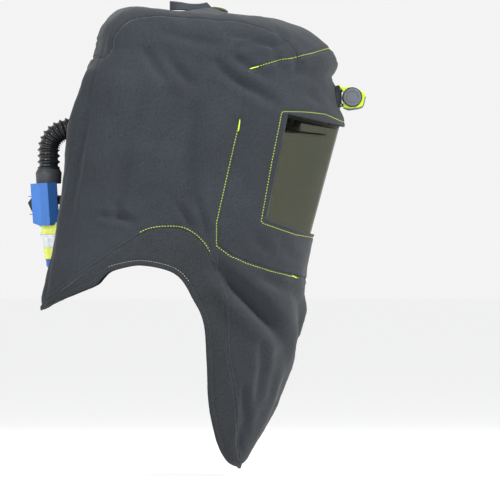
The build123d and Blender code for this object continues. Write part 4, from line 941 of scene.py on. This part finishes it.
def makeLoop(s):
    # a tape standing on its edge, whose ends dip under the tab
    radius = s["half"] - s["tape"] / 2
    straight = s["pivot"] - (s["back"] + s["half"])
    arc = pi * radius
    total = 2 * straight + arc

    def place(u, v):
        run = u * total
        if run < straight:
            x, y = s["pivot"] - run, -radius
        elif run < straight + arc:
            angle = (run - straight) / radius
            x, y = s["back"] + s["half"] - radius * sin(angle), -radius * cos(angle)
        else:
            x, y = s["pivot"] - (total - run), radius
        away = (s["pivot"] - x) / (s["pivot"] - s["back"])
        tall = s["tall"] * min(1.0, 0.3 + away * 6.5)
        sag = -2.8 * sin(pi * away) - 1.6 * (1 - away) ** 2 + 0.8 * away
        low = s["low"] - 1.8 * away - 2.2 * sin(pi * min(1, away * 1.4))
        ripple = 0.5 * sin(9 * away + 2 * v)
        squeeze = 0.8 + 0.2 * min(1, away * 3)
        return (Vector((x * mm, (y * squeeze + ripple) * mm, (low + v * tall + v * sag) * mm)),
                (run * mm, v * s["tall"] * mm))
    bm = mapGrid(96, 8, place)
    piece = finishPiece(bm, "hang_loop_tape", polyesterWebbing, "loop", ["hang_loop"])
    thicken(piece, s["tape"] * mm, 0)
    return piece


loopTape = makeLoop(loopSettings)


tabSettings = {
    "profile": [(-24, 177.6), (-21, 180.6), (-16, 182.6), (-8, 183.0), (0, 181.8), (8, 179.4), (12.5, 176.0)],
    "width": 25.0, "thickness": 5.5, "turnedDown": 0.7,
    "crossStitch": [(-12, -9), (8, -9), (8, 9), (-12, 9), (-12, -9), (8, 9), (8, -9), (-12, 9)],
    "stitchSize": {"pitch": 3.2, "length": 2.7, "width": 1.3, "height": 1.0},
}


def makeTab(s):
    # a folded tape sewn down over the loop's ends, with a boxed cross of stitches
    line = smoothLine(s["profile"], 5)

    def place(u, v):
        i = min(len(line) - 1, round(u * (len(line) - 1)))
        x, z = line[i]
        y = (v - 0.5) * s["width"]
        z -= s["turnedDown"] * abs(2 * v - 1) ** 4
        return Vector((x * mm, y * mm, z * mm)), (u * 0.04, v * 0.025)
    bm = mapGrid(len(line) - 1, 14, place)
    bmesh.ops.recalc_face_normals(bm, faces=bm.faces)
    for face in bm.faces:
        if face.normal.z < 0:
            face.normal_flip()
    piece = finishPiece(bm, "hang_loop_tab_tape", polyesterWebbing, "root", ["hang_loop_tab"])
    thicken(piece, s["thickness"] * mm)
    threads = []
    corners = s["crossStitch"]
    for (x0, y0), (x1, y1) in zip(corners[:-1], corners[1:]):
        steps = 12
        chain = []
        for k in range(steps + 1):
            x, y = x0 + (x1 - x0) * k / steps, y0 + (y1 - y0) * k / steps
            z = np.interp(x, [p[0] for p in line], [p[1] for p in line])
            z -= s["turnedDown"] * abs(2 * y / s["width"]) ** 4
            chain.append((Vector((x, y, float(z))), Vector((0.1, 0, 1)).normalized()))
        sewStitches(threads, chain, lambda q: True, s["stitchSize"])
    beadMesh("hang_loop_tab_stitches", threads, fluorescentThread)
    return piece


tabTape = makeTab(tabSettings)


# tinted lens: an elliptical wrap whose centre and half axes change with height, in mm
lensSettings = {
    "centre": 37.4, "centreSlope": 0.3236, "a": 148.0, "aSlope": -0.0539, "b": 141.5, "bSlope": -0.0442,
    "wrap": 68.0, "narrower": 6.6,  # degrees either side at the top, and how much less at the bottom
    "low": -170.0, "tall": 175.0,
    "topEdge": (1.5, 188, 0.21), "bottomEdge": (-177.0, 141, 0.286),  # height at this x, and slope
}


def makeLens(s):
    def place(u, v):
        turn = radians(s["wrap"] - s["narrower"] * (1 - v)) * (2 * u - 1)
        z = s["low"] + s["tall"] * v
        for _ in range(4):
            x = s["centre"] + s["centreSlope"] * (z + 2) + (s["a"] + s["aSlope"] * (z + 2)) * cos(turn)
            topZ, topX, topSlope = s["topEdge"]
            lowZ, lowX, lowSlope = s["bottomEdge"]
            top = topZ + (topX - x) * topSlope
            bottom = lowZ + (lowX - x) * lowSlope
            z = bottom + (top - bottom) * v
        y = (s["b"] + s["bSlope"] * (z + 2)) * sin(turn)
        return Vector((x * mm, y * mm, z * mm)), (turn * 0.15, z * mm)
    bm = mapGrid(96, 40, place)
    if facesInwards(bm):
        bmesh.ops.reverse_faces(bm, faces=bm.faces)
    piece = finishPiece(bm, "lens_sheet", tintedPolycarbonate, "root", ["lens"])
    thicken(piece, 0.002)
    return piece


makeLens(lensSettings)
print("lens made")


# corrugated hose and cuff, in mm
hoseSettings = {
    "x": -265.5, "foot": -76.0, "bendZ": -39.0, "bendR": 32.0, "turn": 73.0, "tail": 13.5,
    "crest": 17.7, "root": 14.4, "wall": 1.2, "rings": 11.5,
}


def hosePoint(s, travel):
    # the centreline's point and its direction, in mm, at this distance from the foot
    rise = s["bendZ"] - s["foot"]
    bend = s["bendR"] * radians(s["turn"])
    if travel < rise:
        return Vector((s["x"], 0, s["foot"] + travel)), Vector((0, 0, 1))
    angle = min((travel - rise) / s["bendR"], radians(s["turn"]))
    centre = Vector((s["x"] + s["bendR"] * (1 - cos(angle)), 0, s["bendZ"] + s["bendR"] * sin(angle)))
    way = Vector((sin(angle), 0, cos(angle)))
    return centre + way * max(0.0, travel - rise - bend), way


def makeHose(s):
    rise = s["bendZ"] - s["foot"]
    bend = s["bendR"] * radians(s["turn"])
    total = rise + bend + s["tail"]
    steps = 216

    def phase(travel):
        # the rings stand closer together in the bend
        squeezed = min(max(travel - rise, 0), bend)
        return (travel + 0.4 * squeezed) / (total + 0.4 * bend) * s["rings"]

    def place(u, v):
        travel = v * total
        centre, way = hosePoint(s, travel)
        swell = (0.5 + 0.5 * cos(2 * pi * phase(travel))) ** 1.6
        radius = s["root"] + (s["crest"] - s["root"]) * swell
        angle = 2 * pi * u
        side = Vector((0, 1, 0))
        out = way.cross(side)
        spot = centre + side * radius * cos(angle) + out * radius * sin(angle)
        return spot * mm, (u * 0.1, travel * mm)
    bm = mapGrid(64, steps, place, closed=True)
    bmesh.ops.recalc_face_normals(bm, faces=bm.faces)
    piece = finishPiece(bm, "air_hose_rings", glossyHosePvc, "root", ["air_hose"])
    thicken(piece, s["wall"] * mm)
    return piece


makeHose(hoseSettings)


def spinProfile(points, axisX):
    # turns a closed profile of (radius, height) in mm about an upright line
    bm = bmesh.new()
    verts = [bm.verts.new((axisX + radius, 0, height)) for radius, height in points]
    edges = [bm.edges.new(pair) for pair in zip(verts, verts[1:] + verts[:1])]
    bmesh.ops.spin(bm, geom=verts + edges, cent=(axisX, 0, 0), axis=(0, 0, 1), angle=2 * pi, steps=96, use_merge=True,
                   use_duplicate=False)
    bmesh.ops.remove_doubles(bm, verts=bm.verts, dist=0.001)
    bmesh.ops.recalc_face_normals(bm, faces=bm.faces)
    bmesh.ops.scale(bm, vec=(mm, mm, mm), verts=bm.verts)
    return bm


cuffProfile = [(10.2, -90.8), (18.8, -90.8), (19.3, -90.3), (19.9, -80.0), (20.3, -74.6), (20.1, -73.6),
               (19.6, -72.8), (17.2, -68.2), (16.6, -67.5), (15.6, -67.5), (15.4, -75.8), (10.2, -75.8)]
cuff = finishPiece(spinProfile(cuffProfile, hoseSettings["x"]), "hose_cuff_collar", cuffRubber, "root", ["hose_cuff"])
softEdges(cuff, 0.0004, 2, 40)
print("hose made")


# hard parts: the CAD shapes with softened edges, each with its finish and the width of its edges in metres
hardParts = [
    ("blower_case_rear", blueAbs, 0.0007), ("blower_case_front", blueAbs, 0.0007), ("switch_frame", blackAbs, 0.0003),
    ("rocker_switch", blackAbs, 0.0005), ("blower_hanger", blackAbs, 0.0005), ("intake_grille", blackAbs, 0.0003),
    ("lamp_base", blackAbs, 0.0004), ("lamp_release_tab", limeAbs, 0.0003), ("lamp_body", limeAbs, 0.0006),
    ("lamp_bezel", greyAbs, 0.0004), ("lamp_barrel", blackAbs, 0.0004), ("lamp_cap_right", greyAbs, 0.0003),
    ("lamp_cap_left", greyAbs, 0.0003), ("lamp_button", limeAbs, 0.0003), ("hose_port", satinNylon, 0.0004),
    ("port_nut", satinNylon, 0.0005), ("ratchet_knob", blackAbs, 0.0005), ("ratchet_housing", blackAbs, 0.0005),
    ("lens_rail_top", satinNylon, 0.0003), ("lens_rail_bottom", satinNylon, 0.0003),
    ("hat_shell", glossyShell, 0.0006), ("suspension_keys", satinNylon, 0.0005), ("headband", satinNylon, 0.0003),
    ("brow_manifold", satinNylon, 0.0006), ("fan_housing", blackAbs, 0.0003),
    ("lamp_lens", clearPolycarbonate, 0.0002),
]
for node, material, width in hardParts:
    refined(node, material, width)
refined("brow_pad", sweatFoam, 0.001, segments=3)
plainParts = {
    "crown_straps": satinNylon, "nape_strap_left": satinNylon, "nape_strap_right": satinNylon,
    "lens_bracket": satinNylon, "lens_rivets": satinNylon, "inner_duct": satinNylon, "intake_filter": needledFelt,
    "case_screws": zincSteel, "impeller": blackAbs, "blower_motor": motorCan, "control_board": greenBoard,
    "battery_pack": shrinkSleeve, "lamp_backing_plate": blackAbs, "lamp_screws": zincSteel,
    "lamp_hinge_pin": zincSteel, "lamp_reflector": vacuumMetal, "lamp_battery": shrinkSleeve,
}
for node, material in plainParts.items():
    paint(node, material)
print("hard parts finished")


# the base's boss behind the lamp's barrel, with the round ridge that the lamp's back rests on
bossSettings = {"half": 24.0, "block": [(184.6, 33.0), (188.6, 33.0), (188.4, 50.0), (184.6, 50.0)],
                "ridge": (187.0, 52.2, 2.7)}


def makeBoss(s):
    bm = bmesh.new()
    for across in (-s["half"], s["half"]):
        for x, z in s["block"]:
            bm.verts.new((x, across, z))
    bm.verts.ensure_lookup_table()
    bmesh.ops.convex_hull(bm, input=bm.verts)
    x, z, radius = s["ridge"]
    place = Matrix.Translation((x, 0, z)) @ Matrix.Rotation(pi / 2, 4, "X")
    bmesh.ops.create_cone(bm, cap_ends=True, segments=32, radius1=radius, radius2=radius, depth=2 * s["half"],
                          matrix=place)
    bmesh.ops.recalc_face_normals(bm, faces=bm.faces)
    bmesh.ops.scale(bm, vec=(mm, mm, mm), verts=bm.verts)
    piece = finishPiece(bm, "lamp_base_boss", blackAbs, "root")
    softEdges(piece, 0.0004, 2, 40)


makeBoss(bossSettings)


# battery pouch: its back and front lines as (X, Z) in mm, from the top down
pouchSettings = {
    "half": 29.0, "corner": 0.34, "wrinkle": 0.9, "lump": 0.7,
    "rear": [(-279.2, -156.6), (-276.6, -158.2), (-274.2, -161), (-273.8, -164), (-277.2, -169.3), (-274.6, -174),
             (-272.4, -181), (-271.6, -190), (-270.6, -200), (-269.9, -208), (-268.4, -218), (-266.5, -221)],
    "front": [(-254.5, -147.6), (-250.5, -152), (-249.4, -157), (-248.5, -164), (-248.2, -169.5), (-248, -176),
              (-247.8, -182), (-247.6, -190), (-247.6, -200), (-247.8, -208), (-248.4, -218), (-250, -221)],
}


def makePouch(s):
    rear = smoothLine(s["rear"], 4)
    front = smoothLine(s["front"], 4)
    count = len(rear) - 1

    def ringPoint(u, row, grow):
        # a rounded box in plan, between the back line and the front line at this row
        (rearX, rearZ), (frontX, frontZ) = rear[row], front[row]
        angle = 2 * pi * u
        c, q = cos(angle), sin(angle)
        power = s["corner"]
        x = (rearX + frontX) / 2 + ((frontX - rearX) / 2 + grow) * abs(c) ** power * (1 if c > 0 else -1)
        y = (s["half"] + grow) * abs(q) ** power * (1 if q > 0 else -1)
        share = (x - rearX) / (frontX - rearX)
        z = rearZ + (frontZ - rearZ) * share
        wrinkle = s["wrinkle"] * noise.noise(Vector((x * 0.09, y * 0.07, z * 0.13)))
        lump = s["lump"] * noise.noise(Vector((x * 0.2, y * 0.2, z * 0.26)) + Vector((4, 1, 9)))
        shrink = 1 + (wrinkle + lump) / 40
        return Vector(((rearX + frontX) / 2 + (x - (rearX + frontX) / 2) * shrink, y * shrink, z))

    def part(name, rowLow, rowHigh, grow, material, replaced):
        rows = rowHigh - rowLow

        def place(u, v):
            row = rowLow + round(v * rows)
            spot = ringPoint(u, row, grow)
            return spot * mm, (u * 0.16, spot.z * mm)
        bm = mapGrid(120, rows, place, closed=True)
        bmesh.ops.recalc_face_normals(bm, faces=bm.faces)
        piece = finishPiece(bm, name, material, "root", replaced)
        thicken(piece, 0.0011, -1 if grow == 0 else 1)
        return piece
    bag = part("battery_pouch_bag", 0, count, 0, nylonPackcloth, ["battery_pouch"])
    upper = part("pouch_tape_top", 1, 16, 0.25, fluorescentTape, ["pouch_tape_yellow"])
    silver = part("pouch_tape_middle", 16, 28, 0.25, silverTape, ["pouch_tape_silver"])
    lower = part("pouch_tape_low", 28, 36, 0.25, fluorescentTape, [])
    return bag, upper, silver, lower


pouchParts = makePouch(pouchSettings)
print("pouch made")
